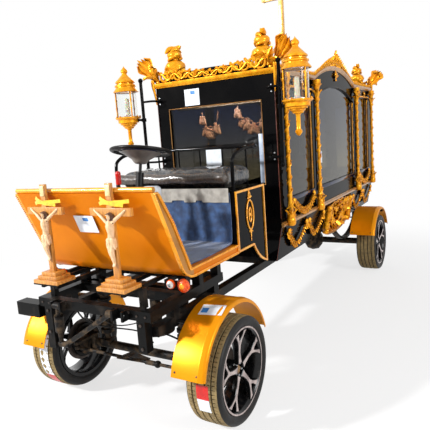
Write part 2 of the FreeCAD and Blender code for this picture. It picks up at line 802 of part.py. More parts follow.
def make_front_fenders():
    """Front arches, each on two stays that run out from the main rail."""
    fenders = []
    level = value("lower_rail_z + rail_size / 2")
    rise = level - value("axle_z")
    inside = value("fender_radius - fender_sheet / 2")
    along = math.sqrt(inside * inside - rise * rise)
    start = value("rail_outer_y")
    length = value("front_fender_outer_y") - start
    for side in (1, -1):
        shape = make_fender("front", "0", "front_fender_inner_y", "front_fender_outer_y", side, 15, 163)
        for sign in (1, -1):
            stay = Part.makeCylinder(7, length - 4, Vector(sign * along, start, level), Vector(0, 1, 0))
            shape = shape.fuse(stay if side > 0 else mirrored(stay))
        fenders.append(shape.removeSplitter())
    return shape_node("front_fenders", Part.makeCompound(fenders))


def make_rear_fenders():
    """Rear arches, each on two stays that run out from the main rail below the skirt."""
    fenders = []
    level = value("lower_rail_z + 14")
    rise = level - value("axle_z")
    inside = value("fender_radius - fender_sheet / 2")
    along = math.sqrt(inside * inside - rise * rise)
    start = value("rail_outer_y")
    length = value("rear_fender_outer_y") - start
    x = value("-wheelbase")
    for side in (1, -1):
        shape = make_fender("rear", "-wheelbase", "rear_fender_inner_y", "rear_fender_outer_y",
                            side, 22, 158)
        for sign in (1, -1):
            stay = Part.makeCylinder(7, length - 4, Vector(x + sign * along, start, level), Vector(0, 1, 0))
            shape = shape.fuse(stay if side > 0 else mirrored(stay))
        fenders.append(shape.removeSplitter())
    return shape_node("rear_fenders", Part.makeCompound(fenders))


DASH_SIDE = [
    ("dash_foot_x", "sill_bottom", "dash_round"),
    ("dash_knee_x", "dash_knee_z"),
    ("dash_top_x + dash_thick + 2", "dash_top_z"),
    ("dash_top_x", "dash_top_z"),
    ("dash_knee_x - 18", "dash_knee_z + 8", "-(dash_round - 20)"),
    ("dash_foot_x", "floor_bottom + 4"),
]

BAND_INSIDE = [
    ("dash_top_x + dash_thick + 2 - band_top", "dash_top_z"),
    ("dash_knee_x + 46", "dash_knee_z + 248"),
    ("dash_knee_x - 44", "dash_knee_z + 58"),
    ("dash_knee_x - 72", "floor_top_z"),
]

SEAT_SIDE = [
    ("seat_rear_x", "seat_tail_z", "320"),
    ("seat_rear_x + 195", "sill_bottom"),
    ("seat_front_x", "sill_bottom"),
    ("seat_front_x", "seat_top_z"),
    ("seat_rear_x", "seat_top_z"),
]


def make_floor_tray():
    """The flat floor from the seat's tail to the dash, with a deep sill on each side."""
    foot = "dash_foot_x"
    inside = "cab_half_width - sill_width"
    pieces = [block("floor_board", ("seat_rear_x", foot), ("-(%s)" % inside, inside),
                    ("floor_bottom", "floor_top_z"))]
    for word, side in SIDES:
        pieces.append(block("sill_" + word, ("seat_front_x", foot),
                            span("cab_half_width - sill_width", "cab_half_width", side),
                            ("sill_bottom", "floor_top_z")))
    return node(fuse("floor_parts", pieces), "floor_tray")


def make_dash_board():
    """The dash, one bent panel that curves up from the floor and leans forward."""
    body = make_body("dash_body")
    sketch = outline(body, "dash_side", "XZ_Plane", DASH_SIDE)
    pad(body, sketch, "2 * cab_half_width - 20", midplane=True)
    return node(body, "dash_board")


def bead_ring(points, width, out, side):
    """A raised edge inside an outline, on the outer face of one side of the cab."""
    face = Part.Face(Part.Wire(wire_edges(points)))
    ring = face.cut(face.makeOffset2D(-width)).extrude(Vector(0, out, 0))
    half = value("cab_half_width")
    ring.translate(Vector(0, half if side > 0 else -half - out, 0))
    return ring


def seat_ornament(side):
    """A pointed ring with a swirl inside, a finial above it and a tail below."""
    x = value("seat_front_x") - 180
    level = value("seat_top_z") - 166
    deep = 8

    def lens(half, height):
        """A pointed oval, from two arcs."""
        tips = [Vector(x, 0, level + sign * height) for sign in (-1, 1)]
        sides = [Part.Arc(tips[0], Vector(x + sign * half, 0, level), tips[1]).toShape() for sign in (-1, 1)]
        return Part.Face(Part.Wire(sides))

    def disc(radius, up):
        return Part.Face(Part.Wire(Part.makeCircle(radius, Vector(x, 0, level + up), Vector(0, 1, 0))))

    ring = lens(86, 96).cut(lens(68, 76))
    swirl = disc(30, 0).cut(disc(18, 0))
    stem = Part.Face(Part.makePolygon([Vector(x - 6, 0, level - 160), Vector(x + 6, 0, level - 160),
                                       Vector(x + 10, 0, level + 112), Vector(x - 10, 0, level + 112),
                                       Vector(x - 6, 0, level - 160)]))
    bar = Part.Face(Part.makePolygon([Vector(x - 80, 0, level - 5), Vector(x + 80, 0, level - 5),
                                      Vector(x + 80, 0, level + 5), Vector(x - 80, 0, level + 5),
                                      Vector(x - 80, 0, level - 5)]))
    faces = [swirl, stem, bar.cut(disc(24, 0)), disc(15, 120)]
    shape = ring.fuse(faces).extrude(Vector(0, deep, 0))
    solid = shape.Solids[0].fuse(shape.Solids[1:]) if len(shape.Solids) > 1 else shape
    half = value("cab_half_width")
    solid.translate(Vector(0, half if side > 0 else -half - deep, 0))
    return solid.removeSplitter()


def make_cab_trim():
    """Gilt edging: the dash's end plates and rolled top, and beads round band and seat."""
    parts = []
    edge = 10
    half = value("cab_half_width")
    end_plate = DASH_SIDE[:3] + BAND_INSIDE + [("dash_foot_x", "floor_top_z")]
    band = [("seat_front_x", "sill_bottom")] + DASH_SIDE[:3] + BAND_INSIDE
    band += [("seat_front_x", "floor_top_z")]
    plate = Part.Face(Part.Wire(wire_edges(end_plate))).extrude(Vector(0, edge, 0))
    for side in (1, -1):
        parts.append(plate.translated(Vector(0, half - edge if side > 0 else -half, 0)))
        parts.append(bead_ring(band, value("bead"), 6, side))
        parts.append(bead_ring(SEAT_SIDE, value("bead + 4"), 8, side))
        parts.append(seat_ornament(side))
    roll = value("dash_roll_radius")
    top = point("dash_top_x + dash_thick / 2", "0", "dash_top_z + dash_roll_radius")
    parts.append(Part.makeCylinder(roll, 2 * half, top - Vector(0, half, 0), Vector(0, 1, 0)))
    return shape_node("cab_trim", Part.makeCompound(parts))


def make_seat_box():
    """The seat's box: two deep side panels, a front, a top board and a back."""
    body = make_body("seat_shell")
    for word, side in SIDES:
        middle = "%d * (cab_half_width - sill_width / 2)" % -side
        pad(body, outline(body, "seat_side_" + word, "XZ_Plane", SEAT_SIDE, middle),
            "sill_width", midplane=True)
    arch = [
        ("seat_rear_x", "floor_top_z"),
        ("seat_rear_x + seat_board", "floor_top_z"),
        ("seat_rear_x + seat_board", "seat_top_z - seat_board"),
        ("seat_front_x - seat_board", "seat_top_z - seat_board"),
        ("seat_front_x - seat_board", "floor_top_z"),
        ("seat_front_x", "floor_top_z"),
        ("seat_front_x", "seat_top_z"),
        ("seat_rear_x", "seat_top_z"),
    ]
    pad(body, outline(body, "seat_front_and_top", "XZ_Plane", arch),
        "2 * (cab_half_width - sill_width)", midplane=True)
    return node(body, "seat_box")


def make_seat_cushion():
    """One bench cushion with rounded edges, a hair above its board."""
    base = block("cushion_block", ("seat_rear_x + 30", "seat_front_x + 14"),
                 ("-(cab_half_width - sill_width)", "cab_half_width - sill_width"),
                 ("seat_top_z + 0.3", "seat_top_z + cushion_height"))
    doc.recompute()
    soft = doc.addObject("Part::Fillet", "cushion_round")
    soft.Base = base
    soft.Edges = [(index + 1, 24, 24) for index in range(len(base.Shape.Edges))]
    return node(soft, "seat_cushion")


def make_seat_rail():
    """A bent tube round the back of the bench, down to a foot at each front corner."""
    y = value("cab_half_width - sill_width / 2")
    foot = value("seat_top_z")
    top = value("seat_rail_z")
    radius = value("seat_rail_radius")
    front = value("seat_front_x - 18")
    rear = value("seat_rear_x + 12")
    points = [Vector(front, y, foot), Vector(front, y, foot + 165), Vector(front - 190, y, top),
              Vector(rear, y, top), Vector(rear, -y, top), Vector(front - 190, -y, top),
              Vector(front, -y, foot + 165), Vector(front, -y, foot)]
    rail = tube_path(points, radius, 50)
    bars = []
    for side in (1, -1):
        for x in (front - 215, rear + 62):
            bars.append(stick(Vector(x, side * y, foot), Vector(x, side * y, top), 7))
    for index in range(-3, 4):
        place = index * 118
        bars.append(stick(Vector(rear, place, foot), Vector(rear, place, top), 7))
    return shape_node("seat_rail", rail.fuse(bars).removeSplitter())


def column_axis():
    tilt = math.radians(value("column_tilt"))
    return Vector(-math.sin(tilt), 0, math.cos(tilt))


def make_steering_wheel():
    """The hand wheel: rim, three flat spokes, a deep closed bowl and the shaft it turns on."""
    centre = point("wheel_centre_x", "0", "wheel_centre_z")
    axis = column_axis()
    radius = value("hand_wheel_radius")
    grip = value("hand_wheel_rim")
    wheel = Part.makeTorus(radius, grip, Vector(0, 0, 0), Vector(0, 0, 1))
    for turn in (90, 210, 330):
        spoke = Part.makeBox(radius - 90, 26, 9, Vector(90, -13, -10))
        spoke.rotate(Vector(0, 0, 0), Vector(0, 0, 1), turn)
        wheel = wheel.fuse(spoke)
    bowl = turned([(0, -112), (35, -112), (62, -88), (98, -48), (120, -8), (112, 0), (60, 8), (0, 11)],
                  Vector(0, 0, 0))
    shaft = Part.makeCylinder(9, 130, Vector(0, 0, -220))
    wheel = wheel.fuse([bowl, shaft]).removeSplitter()
    wheel.Placement = Placement(centre, Rotation(Vector(0, 0, 1), axis))
    return shape_node("steering_wheel", wheel)


def make_driver_controls():
    """Steering column in its boot, instrument pod on a stand, hand lever and pedals."""
    centre = point("wheel_centre_x", "0", "wheel_centre_z")
    axis = column_axis()
    floor = value("floor_top_z")
    foot = (value("wheel_centre_z") - floor) / axis.z - 14
    column = stick(centre - axis * foot, centre - axis * 118, value("column_radius"))
    column = column.cut(stick(centre - axis * 240, centre - axis * 100, 9 + value("running_gap")))
    base = centre - axis * foot
    boot = turned([(0, 0), (48, 0), (44, 16), (27, 60), (0, 60)], Vector(base.x, 0, floor))
    column = column.fuse(boot).removeSplitter()
    pod_x, pod_y, pod_z = -40, 120, 1170
    pod = Part.makeBox(60, 100, 62, Vector(pod_x - 30, pod_y - 50, pod_z))
    pod = pod.makeFillet(16, pod.Edges)
    stand = Part.makeBox(26, 26, pod_z - floor, Vector(pod_x - 13, pod_y - 13, floor))
    lever_x, lever_y = -50, -120
    lever = stick(Vector(lever_x, lever_y, floor), Vector(lever_x, lever_y, 1350), 8)
    folds = [(0, 0), (44, 0), (40, 30), (30, 45), (34, 70), (24, 90), (26, 120), (12, 150), (0, 150)]
    bellows = turned(folds, Vector(lever_x, lever_y, floor))
    knob = Part.makeSphere(22, Vector(lever_x, lever_y, 1362))
    parts = [column, pod.fuse(stand).removeSplitter(), lever.fuse([bellows, knob]).removeSplitter()]
    for place in (-200, -290):
        arm = Part.makeBox(14, 14, 90, Vector(60, place - 7, floor))
        plate = Part.makeBox(14, 64, 74, Vector(46, place - 32, floor + 60))
        parts.append(arm.fuse(plate).removeSplitter())
    return shape_node("driver_controls", Part.makeCompound(parts))


SKIRT_SECTION = [
    ("body_half_width - skirt_tuck", "skirt_bottom_z"),
    ("body_half_width", "belt_z"),
    ("body_half_width", "eave_z"),
]


def arc_rule(half, rise):
    """The radius of an arc over a chord, from half the chord and its rise."""
    return "((%s)^2 + (%s)^2) / (2 * (%s))" % (half, rise, rise)


def end_section():
    """The body's whole cross-section, with its cambered top."""
    right = [("-(%s)" % across, up) for across, up in SKIRT_SECTION]
    roof_arc = arc_rule("body_half_width", "roof_rise")
    left = list(reversed(SKIRT_SECTION))
    ends = [right[0], SKIRT_SECTION[0], SKIRT_SECTION[1], SKIRT_SECTION[2] + (roof_arc,)]
    return ends + list(reversed(right))[:2]


def make_front_wall():
    """The body's front wall with its one wide window."""
    body = make_body("front_shell")
    sketch = outline(body, "front_section", "YZ_Plane", end_section(), "body_front_x - wall / 2")
    pad(body, sketch, "wall", midplane=True)
    window = [
        ("-front_window_half", "front_window_sill_z"),
        ("front_window_half", "front_window_sill_z"),
        ("front_window_half", "front_window_top_z"),
        ("-front_window_half", "front_window_top_z"),
    ]
    pocket(body, outline(body, "front_window", "YZ_Plane", window))
    notch = [
        ("-rail_outer_y", "lower_rail_z"),
        ("rail_outer_y", "lower_rail_z"),
        ("rail_outer_y", "lower_rail_top"),
        ("-rail_outer_y", "lower_rail_top"),
    ]
    pocket(body, outline(body, "rail_notch", "YZ_Plane", notch))
    return node(body, "front_wall")


def make_rear_frame():
    """The rear frame round the door opening, with the hinge pins on each side."""
    body = make_body("rear_shell")
    sketch = outline(body, "rear_section", "YZ_Plane", end_section(), "body_rear_x + wall / 2")
    pad(body, sketch, "wall", midplane=True)
    opening = [
        ("-door_half_width", "door_sill_z"),
        ("door_half_width", "door_sill_z"),
        ("door_half_width", "door_top_z"),
        ("-door_half_width", "door_top_z"),
    ]
    pocket(body, outline(body, "door_opening", "YZ_Plane", opening))
    doc.recompute()
    shape = body.Shape.copy()
    pins = []
    for side in (1, -1):
        axis = hinge_place(side)
        reach = value("body_rear_x") - axis.x
        for level in hinge_levels():
            pins.append(Part.makeCylinder(5, 84, Vector(axis.x, axis.y, level - 42)))
            for low in (-42, 24):
                place = Vector(axis.x, axis.y, level + low)
                pins.append(Part.makeCylinder(value("hinge_radius"), 18, place))
                pins.append(Part.makeBox(reach, 10, 18, place - Vector(0, 5, 0)))
    return shape_node("rear_frame", shape.fuse(pins).removeSplitter())


def hinge_place(side):
    """A door's hinge line, at the leaf's outer face, beside its outer edge."""
    x = value("body_rear_x - door_lift - door_thick")
    return Vector(x, side * value("door_half_width + hinge_radius + 3"), 0)


def hinge_levels():
    low = value("door_sill_z")
    high = value("door_top_z")
    return [low + 110, (low + high) / 2, high - 110]


def make_door(word, side):
    """One rear leaf: a frame with a glazed upper half and a solid foot, and its barrels."""
    thick = value("door_thick")
    half = value("door_half_width")
    seam = value("door_gap") / 2
    low = value("door_sill_z") - 12
    high = value("door_top_z") + 12
    face = value("body_rear_x - door_lift") - thick
    width = half - seam
    stile = value("door_stile")
    leaf = Part.makeBox(thick, width, high - low, Vector(face, seam, low))
    window = Part.makeBox(thick, width - 2 * stile, high - value("window_sill_z") - stile,
                          Vector(face, seam + stile, value("window_sill_z")))
    leaf = leaf.cut(window)
    axis = hinge_place(1)
    barrels = []
    for level in hinge_levels():
        barrels.append(Part.makeCylinder(value("hinge_radius"), 44, Vector(axis.x, axis.y, level - 22)))
        barrels.append(Part.makeBox(5, axis.y - half + 60, 44, Vector(axis.x - 5, half - 60, level - 22)))
    leaf = leaf.fuse(barrels)
    for level in hinge_levels():
        leaf = leaf.cut(Part.makeCylinder(5 + value("running_gap"), 60, Vector(axis.x, axis.y, level - 30)))
    leaf = leaf.removeSplitter()
    pane = Part.makeBox(value("glass_thick"), width - 2 * stile, high - value("window_sill_z") - stile,
                        Vector(face + thick / 2, seam + stile, value("window_sill_z")))
    if side < 0:
        leaf, pane = mirrored(leaf), mirrored(pane)
    shape_node("rear_door_" + word, leaf)
    shape_node("rear_door_glass_" + word, pane)


def side_windows(grow="0"):
    """The three openings of a side: two tall ones and the wide arched one between them."""
    arc = arc_rule("middle_window_half + (%s)" % grow, "middle_window_rise + (%s)" % grow)
    middle = [
        ("body_centre_x - middle_window_half - (%s)" % grow, "window_sill_z - (%s)" % grow),
        ("body_centre_x + middle_window_half + (%s)" % grow, "window_sill_z - (%s)" % grow),
        ("body_centre_x + middle_window_half + (%s)" % grow, "middle_window_spring_z", arc),
        ("body_centre_x - middle_window_half - (%s)" % grow, "middle_window_spring_z"),
    ]
    result = [("middle", middle)]
    for word, centre in (("fore", "small_window_x"), ("aft", "2 * body_centre_x - small_window_x")):
        half = "(small_window_length / 2 + (%s))" % grow
        result.append((word, [
            (centre + " - " + half, "window_sill_z - (%s)" % grow),
            (centre + " + " + half, "window_sill_z - (%s)" % grow),
            (centre + " + " + half, "small_window_top_z + (%s)" % grow),
            (centre + " - " + half, "small_window_top_z + (%s)" % grow),
        ]))
    return result


def make_side_wall(word, side):
    """One side: tucked skirt, three windows and the arched fascia above the eave."""
    body = make_body("side_shell_" + word)
    outer = [("%d * (%s)" % (side, across), up) for across, up in SKIRT_SECTION]
    inner = [("%d * (%s - wall)" % (side, across), up) for across, up in reversed(SKIRT_SECTION)]
    section = outline(body, "side_section_" + word, "YZ_Plane", outer + inner, "body_centre_x")
    pad(body, section, "body_length - 2 * wall", midplane=True)
    arc = arc_rule("arch_half_span", "arch_rise")
    fascia = [
        ("body_centre_x - arch_half_span", "eave_z"),
        ("body_centre_x + arch_half_span", "eave_z", arc),
    ]
    middle = "%d * (body_half_width - wall / 2)" % -side
    pad(body, outline(body, "fascia_" + word, "XZ_Plane", fascia, middle), "wall", midplane=True)
    for name, points in side_windows():
        opening = outline(body, "opening_%s_%s" % (name, word), "XZ_Plane", points, middle)
        pocket(body, opening).Type = "Length"
    for feature in body.Group:
        if feature.TypeId == "PartDesign::Pocket":
            bind(feature, Length="4 * wall")
    return node(body, "side_wall_" + word)


def make_roof():
    """The cambered roof panel between the four walls."""
    body = make_body("roof_shell")
    arc = arc_rule("inner_half_width", "roof_rise")
    low = "eave_z - roof_thick"
    section = [
        ("-inner_half_width", low, "-(%s)" % arc),
        ("inner_half_width", low),
        ("inner_half_width", "eave_z", arc),
        ("-inner_half_width", "eave_z"),
    ]
    pad(body, outline(body, "roof_section", "YZ_Plane", section, "body_centre_x"),
        "body_length - 2 * wall", midplane=True)
    return node(body, "roof")


def make_load_deck():
    """The flat deck that carries the coffin, on bearers across the main rails."""
    across = ("-inner_half_width", "inner_half_width")
    pieces = [block("deck_board", ("body_rear_x + wall", "body_front_x - wall"), across,
                    ("deck_top_z - deck_thick", "deck_top_z"))]
    for index in range(4):
        start = "body_rear_x + 220 + %d * (body_length - 500) / 3" % index
        pieces.append(block("bearer_%d" % index, (start, start + " + 60"),
                            ("-rail_outer_y", "rail_outer_y"),
                            ("lower_rail_top", "deck_top_z - deck_thick")))
    return node(fuse("deck_parts", pieces), "load_deck")


def make_window_glass():
    """One flat pane in each fixed window."""
    body = make_body("glass_body")
    for word, side in SIDES:
        middle = "%d * (body_half_width - wall / 2)" % -side
        for name, points in side_windows():
            sketch = outline(body, "pane_%s_%s" % (name, word), "XZ_Plane", points, middle)
            pad(body, sketch, "glass_thick", midplane=True)
    front = [
        ("-front_window_half", "front_window_sill_z"),
        ("front_window_half", "front_window_sill_z"),
        ("front_window_half", "front_window_top_z"),
        ("-front_window_half", "front_window_top_z"),
    ]
    sketch = outline(body, "pane_front", "YZ_Plane", front, "body_front_x - wall / 2")
    pad(body, sketch, "glass_thick", midplane=True)
    return node(body, "window_glass")


def column_places():
    """Where the columns stand along a side, from the front corner back."""
    first = value("body_front_x - column_inset")
    second = first - value("column_pitch")
    centre = value("body_centre_x")
    return [first, second, 2 * centre - second, 2 * centre - first]


def make_columns():
    """Slender gilt columns on corbels, four to a side, under the cornice."""
    base = value("column_base_radius")
    shaft = value("column_shaft_radius")
    low = value("belt_z + moulding_height")
    high = value("cornice_z")
    y = value("body_half_width") + base
    profile = [(0, low - 60), (15, low - 30), (base - 2, low - 6), (base, low), (base, low + 18),
               (base - 6, low + 30), (shaft + 6, low + 62), (shaft, low + 130), (shaft, high - 130),
               (shaft + 7, high - 116), (shaft, high - 100), (base, high - 24), (base, high), (0, high)]
    belt = Part.makeBox(2 * base, value("moulding_out"), value("moulding_height"),
                        point("0", "body_half_width", "belt_z") - Vector(base, 0, 0))
    column = turned(profile, Vector(0, y, 0)).cut(belt)
    shafts = []
    for x in column_places():
        shaft_here = column.translated(Vector(x, 0, 0))
        shafts += [shaft_here, mirrored(shaft_here)]
    return shape_node("columns", Part.makeCompound(shafts))


def make_mouldings():
    """Gilt belt strip, window frames and the cornice that follows the side arches."""
    body = make_body("moulding_body")
    half = "arch_half_span"
    arc = arc_rule(half, "arch_rise")
    for word, side in SIDES:
        offset = "%d * (body_half_width + moulding_out / 2)" % -side
        ends = ("body_rear_x", "body_front_x")
        belt = [(ends[0], "belt_z"), (ends[1], "belt_z"), (ends[1], "belt_z + moulding_height"),
                (ends[0], "belt_z + moulding_height")]
        pad(body, outline(body, "belt_" + word, "XZ_Plane", belt, offset), "moulding_out", midplane=True)
        cornice = [
            (ends[0], "cornice_z"),
            ("body_centre_x - arch_half_span", "cornice_z", "-(%s)" % arc),
            ("body_centre_x + arch_half_span", "cornice_z"),
            (ends[1], "cornice_z"),
            (ends[1], "cornice_z + moulding_height"),
            ("body_centre_x + arch_half_span", "cornice_z + moulding_height", arc),
            ("body_centre_x - arch_half_span", "cornice_z + moulding_height"),
            (ends[0], "cornice_z + moulding_height"),
        ]
        pad(body, outline(body, "cornice_" + word, "XZ_Plane", cornice, offset), "moulding_out",
            midplane=True)
    ends = (("front", "body_front_x + moulding_out / 2"), ("rear", "body_rear_x - moulding_out / 2"))
    for word, start in ends:
        across = "body_half_width + moulding_out"
        strip = [("-(%s)" % across, "cornice_z"), (across, "cornice_z"),
                 (across, "cornice_z + moulding_height"), ("-(%s)" % across, "cornice_z + moulding_height")]
        pad(body, outline(body, "end_cornice_" + word, "YZ_Plane", strip, start), "moulding_out",
            midplane=True)
    doc.recompute()
    frames = []
    for word, side in SIDES:
        y = value("body_half_width")
        for (name, inner), (same, outer) in zip(side_windows(), side_windows("16")):
            rings = [Part.Face(Part.Wire(wire_edges(points))) for points in (outer, inner)]
            ring = rings[0].cut(rings[1]).extrude(Vector(0, 10, 0))
            ring.translate(Vector(0, y if side > 0 else -y - 10, 0))
            frames.append(ring)
    return shape_node("mouldings", Part.makeCompound([body.Shape.copy()] + frames))


def wire_edges(points):
    """Edges in the XZ plane from an outline's points."""
    edges = []
    places = [Vector(value(item[0]), 0, value(item[1])) for item in points]
    for index, item in enumerate(points):
        start, end = places[index], places[(index + 1) % len(points)]
        if len(item) == 3:
            flat = arc_between(Vector(start.x, start.z, 0), Vector(end.x, end.z, 0), value(item[2]))
            shape = flat.toShape()
            shape.rotate(Vector(0, 0, 0), Vector(1, 0, 0), 90)
            edges.append(shape)
        else:
            edges.append(Part.LineSegment(start, end).toShape())
    return edges


def upright_ring(centre, outer, inner, thick, normal):
    """A flat ring standing on edge."""
    start = centre - normal * (thick / 2)
    return Part.makeCylinder(outer, thick, start, normal).cut(Part.makeCylinder(inner, thick, start, normal))


def arched_strip(centre_x, level, y, thick, height):
    """A thin strip that lies on the arched cornice."""
    half = value("arch_half_span")
    rise = value("arch_rise")
    edges = []
    for lift in (0, height):
        ends = [Vector(centre_x + sign * half, y - thick / 2, level + lift) for sign in (-1, 1)]
        crown = Vector(centre_x, y - thick / 2, level + rise + lift)
        edges.append(Part.Arc(ends[0], crown, ends[1]).toShape())
        if lift == 0:
            low_ends = ends
    edges += [Part.LineSegment(one, other).toShape() for one, other in zip(low_ends, ends)]
    wire = Part.Wire(Part.__sortEdges__(edges))
    return Part.Face(wire).extrude(Vector(0, thick, 0))


def leaf_blade(centre, width, height, thick, lean, across):
    """A pointed upright leaf, flat on one plane and leaned over by an angle."""
    foot, tip = Vector(0, -thick / 2, 0), Vector(0, -thick / 2, height)
    bellies = [Vector(sign * width / 2, -thick / 2, height * 0.4) for sign in (-1, 1)]
    sides = [Part.Arc(foot, belly, tip).toShape() for belly in bellies]
    blade = Part.Face(Part.Wire(sides)).extrude(Vector(0, thick, 0))
    blade.rotate(Vector(0, 0, 0), Vector(0, 1, 0), lean)
    if across:
        blade.rotate(Vector(0, 0, 0), Vector(0, 0, 1), 90)
    return blade.translated(centre)


def make_cresting():
    """Openwork cresting: rings that rise from the middle to the corners, and side crests."""
    thick = value("crest_thick")
    low = value("crest_low")
    high = value("crest_high")
    base_z = value("cornice_z + moulding_height")
    parts = []
    half = value("body_half_width - 80")
    for x in (value("body_front_x + moulding_out / 2"), value("body_rear_x - moulding_out / 2")):
        rings = []
        place = 0
        radius = low
        while place + radius < half:
            for side in (1, -1):
                centre = Vector(x, side * place, base_z + radius + 5)
                rings.append(upright_ring(centre, radius, radius * 0.55, thick, Vector(1, 0, 0)))
                tip = centre + Vector(0, 0, radius * 0.8)
                rings.append(leaf_blade(tip, radius * 0.8, radius, thick, 0, True))
            step = radius
            radius = low + (high - low) * min(1, (place + radius) / half)
            place += step + radius - 3
        strip = Part.makeBox(thick, 2 * half, 8, Vector(x - thick / 2, -half, base_z))
        parts.append(strip.fuse(rings).removeSplitter())
    rise = value("arch_rise")
    arch_radius = value(arc_rule("arch_half_span", "arch_rise"))
    centre_x = value("body_centre_x")
    centre_z = base_z + rise - arch_radius
    y = value("body_half_width + moulding_out / 2")
    for side in (1, -1):
        rings = []
        count = 6
        for index in range(-count, count + 1):
            size = 46 - 3.2 * abs(index)
            distance = 0
            for step in range(abs(index)):
                distance += (46 - 3.2 * step) + (46 - 3.2 * (step + 1)) - 3
            angle = math.copysign(distance / arch_radius, index)
            reach = arch_radius + size + 5
            centre = Vector(centre_x + reach * math.sin(angle), side * y, centre_z + reach * math.cos(angle))
            rings.append(upright_ring(centre, size, size * 0.55, thick, Vector(0, 1, 0)))
            lean = math.degrees(angle)
            tip = centre + Vector(math.sin(angle), 0, math.cos(angle)) * size * 0.8
            tall = size * (2.1 if index == 0 else 1)
            rings.append(leaf_blade(tip, size * 0.8, tall, thick, lean, False))
            if index == 0:
                rings += [leaf_blade(tip, size * 0.7, tall * 0.8, thick, turn, False) for turn in (-38, 38)]
        rings.append(arched_strip(centre_x, base_z, side * y, thick, 8))
        parts.append(rings[0].fuse(rings[1:]).removeSplitter())
    return shape_node("cresting", Part.makeCompound(parts))


def under_camber(half):
    """The space under the cambered top, to trim what stands on it."""
    arc = value(arc_rule(half, "roof_rise"))
    centre = point("body_rear_x - 200", "0", "eave_z + roof_rise") - Vector(0, 0, arc)
    round_top = Part.makeCylinder(arc, value("body_length + 400"), centre, Vector(1, 0, 0))
    width = value(half)
    strip = Part.makeBox(value("body_length"), 2 * width, value("roof_rise") + 200,
                         point("body_rear_x", "-(%s)" % half, "eave_z - 200"))
    return round_top.common(strip)


def cornice_block():
    """The cornice's whole plan, up to its top."""
    out = value("body_half_width + moulding_out")
    return Part.makeBox(value("body_length + 2 * moulding_out"), 2 * out, value("moulding_height"),
                        Vector(value("body_rear_x - moulding_out"), -out, value("cornice_z")))


def make_corner_leaves():
    """A spray of three curling acanthus leaves on each corner of the cornice."""
    leaves = []
    base_z = value("cornice_z + moulding_height")
    thick = value("leaf_thick")

    def curl(reach, height, across):
        """One leaf, curling outwards from a narrow heel to a hooked tip."""
        heel, toe = Vector(-reach * 0.3, -across / 2, 0), Vector(reach / 3, -across / 2, 0)
        tip = Vector(reach, -across / 2, height * 0.75)
        back = Vector(0, -across / 2, height * 0.7)
        edges = [Part.LineSegment(heel, toe),
                 Part.Arc(toe, Vector(reach * 0.46, -across / 2, height * 0.45), tip),
                 Part.Arc(tip, Vector(reach * 0.55, -across / 2, height), back),
                 Part.Arc(back, Vector(-reach * 0.28, -across / 2, height * 0.38), heel)]
        return Part.Face(Part.Wire([edge.toShape() for edge in edges])).extrude(Vector(0, across, 0))

    spray = curl(value("leaf_reach"), value("leaf_height"), thick)
    for turn in (-48, 48):
        side_leaf = curl(value("leaf_reach") * 0.8, value("leaf_height") * 0.86, thick * 0.6)
        side_leaf.rotate(Vector(0, 0, 0), Vector(0, 0, 1), turn)
        spray = spray.fuse(side_leaf)
    for end, turn in (("body_front_x - leaf_inset", 45), ("body_rear_x + leaf_inset", 135)):
        for side in (1, -1):
            copy = spray.copy()
            copy.rotate(Vector(0, 0, 0), Vector(0, 0, 1), turn * side)
            copy.translate(Vector(value(end), side * value("body_half_width - leaf_inset"), base_z))
            trimmed = copy.cut([under_camber("body_half_width"), cornice_block()])
            leaves.append(max(trimmed.Solids, key=lambda solid: solid.Volume))
    return shape_node("corner_leaves", Part.makeCompound(leaves))


def make_roof_ornaments():
    """A draped, flame-topped urn near each corner, and the tall cross at the roof's centre."""
    parts = []
    radius = value("finial_radius")
    height = value("finial_height")
    profile = [(0, 0), (0.9, 0), (0.9, 0.07), (0.45, 0.13), (0.4, 0.18), (0.82, 0.3), (1, 0.46),
               (0.92, 0.58), (0.5, 0.66), (0.66, 0.72), (0.78, 0.8), (0.62, 0.9), (0.28, 0.98), (0, 1)]
    profile = [(across * radius, up * height) for across, up in profile]
    y = value("finial_y")
    for x in (value("body_front_x - finial_inset"), value("body_rear_x + finial_inset")):
        for side in (1, -1):
            seat = roof_height(y)
            foot = Part.makeCylinder(radius * 0.9, 40, Vector(x, side * y, seat - 20))
            urn = turned(profile, Vector(x, side * y, seat + 18)).fuse(foot)
            parts.append(urn.cut(under_camber("inner_half_width")).removeSplitter())
    bar = value("cross_bar")
    top = value("cross_top_z")
    arm = value("cross_arm")
    foot = roof_height(0)
    x = value("body_centre_x")
    cross = Part.makeBox(bar, bar, top - foot, Vector(x - bar / 2, -bar / 2, foot))
    arms = Part.makeBox(bar, 2 * arm, bar, Vector(x - bar / 2, -arm, top - arm - bar))
    steps = [(0, -10), (70, -10), (70, 0), (64, 20), (40, 40), (32, 70), (0, 70)]
    plinth = turned([(radius, foot + up) for radius, up in steps], Vector(x, 0, 0))
    cross = cross.fuse([arms, plinth]).cut(under_camber("inner_half_width"))
    parts.append(cross.removeSplitter())
    return shape_node("roof_ornaments", Part.makeCompound(parts))


def roof_height(y):
    """The top of the cambered roof at a distance from the middle."""
    arc = value(arc_rule("inner_half_width", "roof_rise"))
    return value("eave_z + roof_rise") - arc + math.sqrt(arc * arc - y * y)


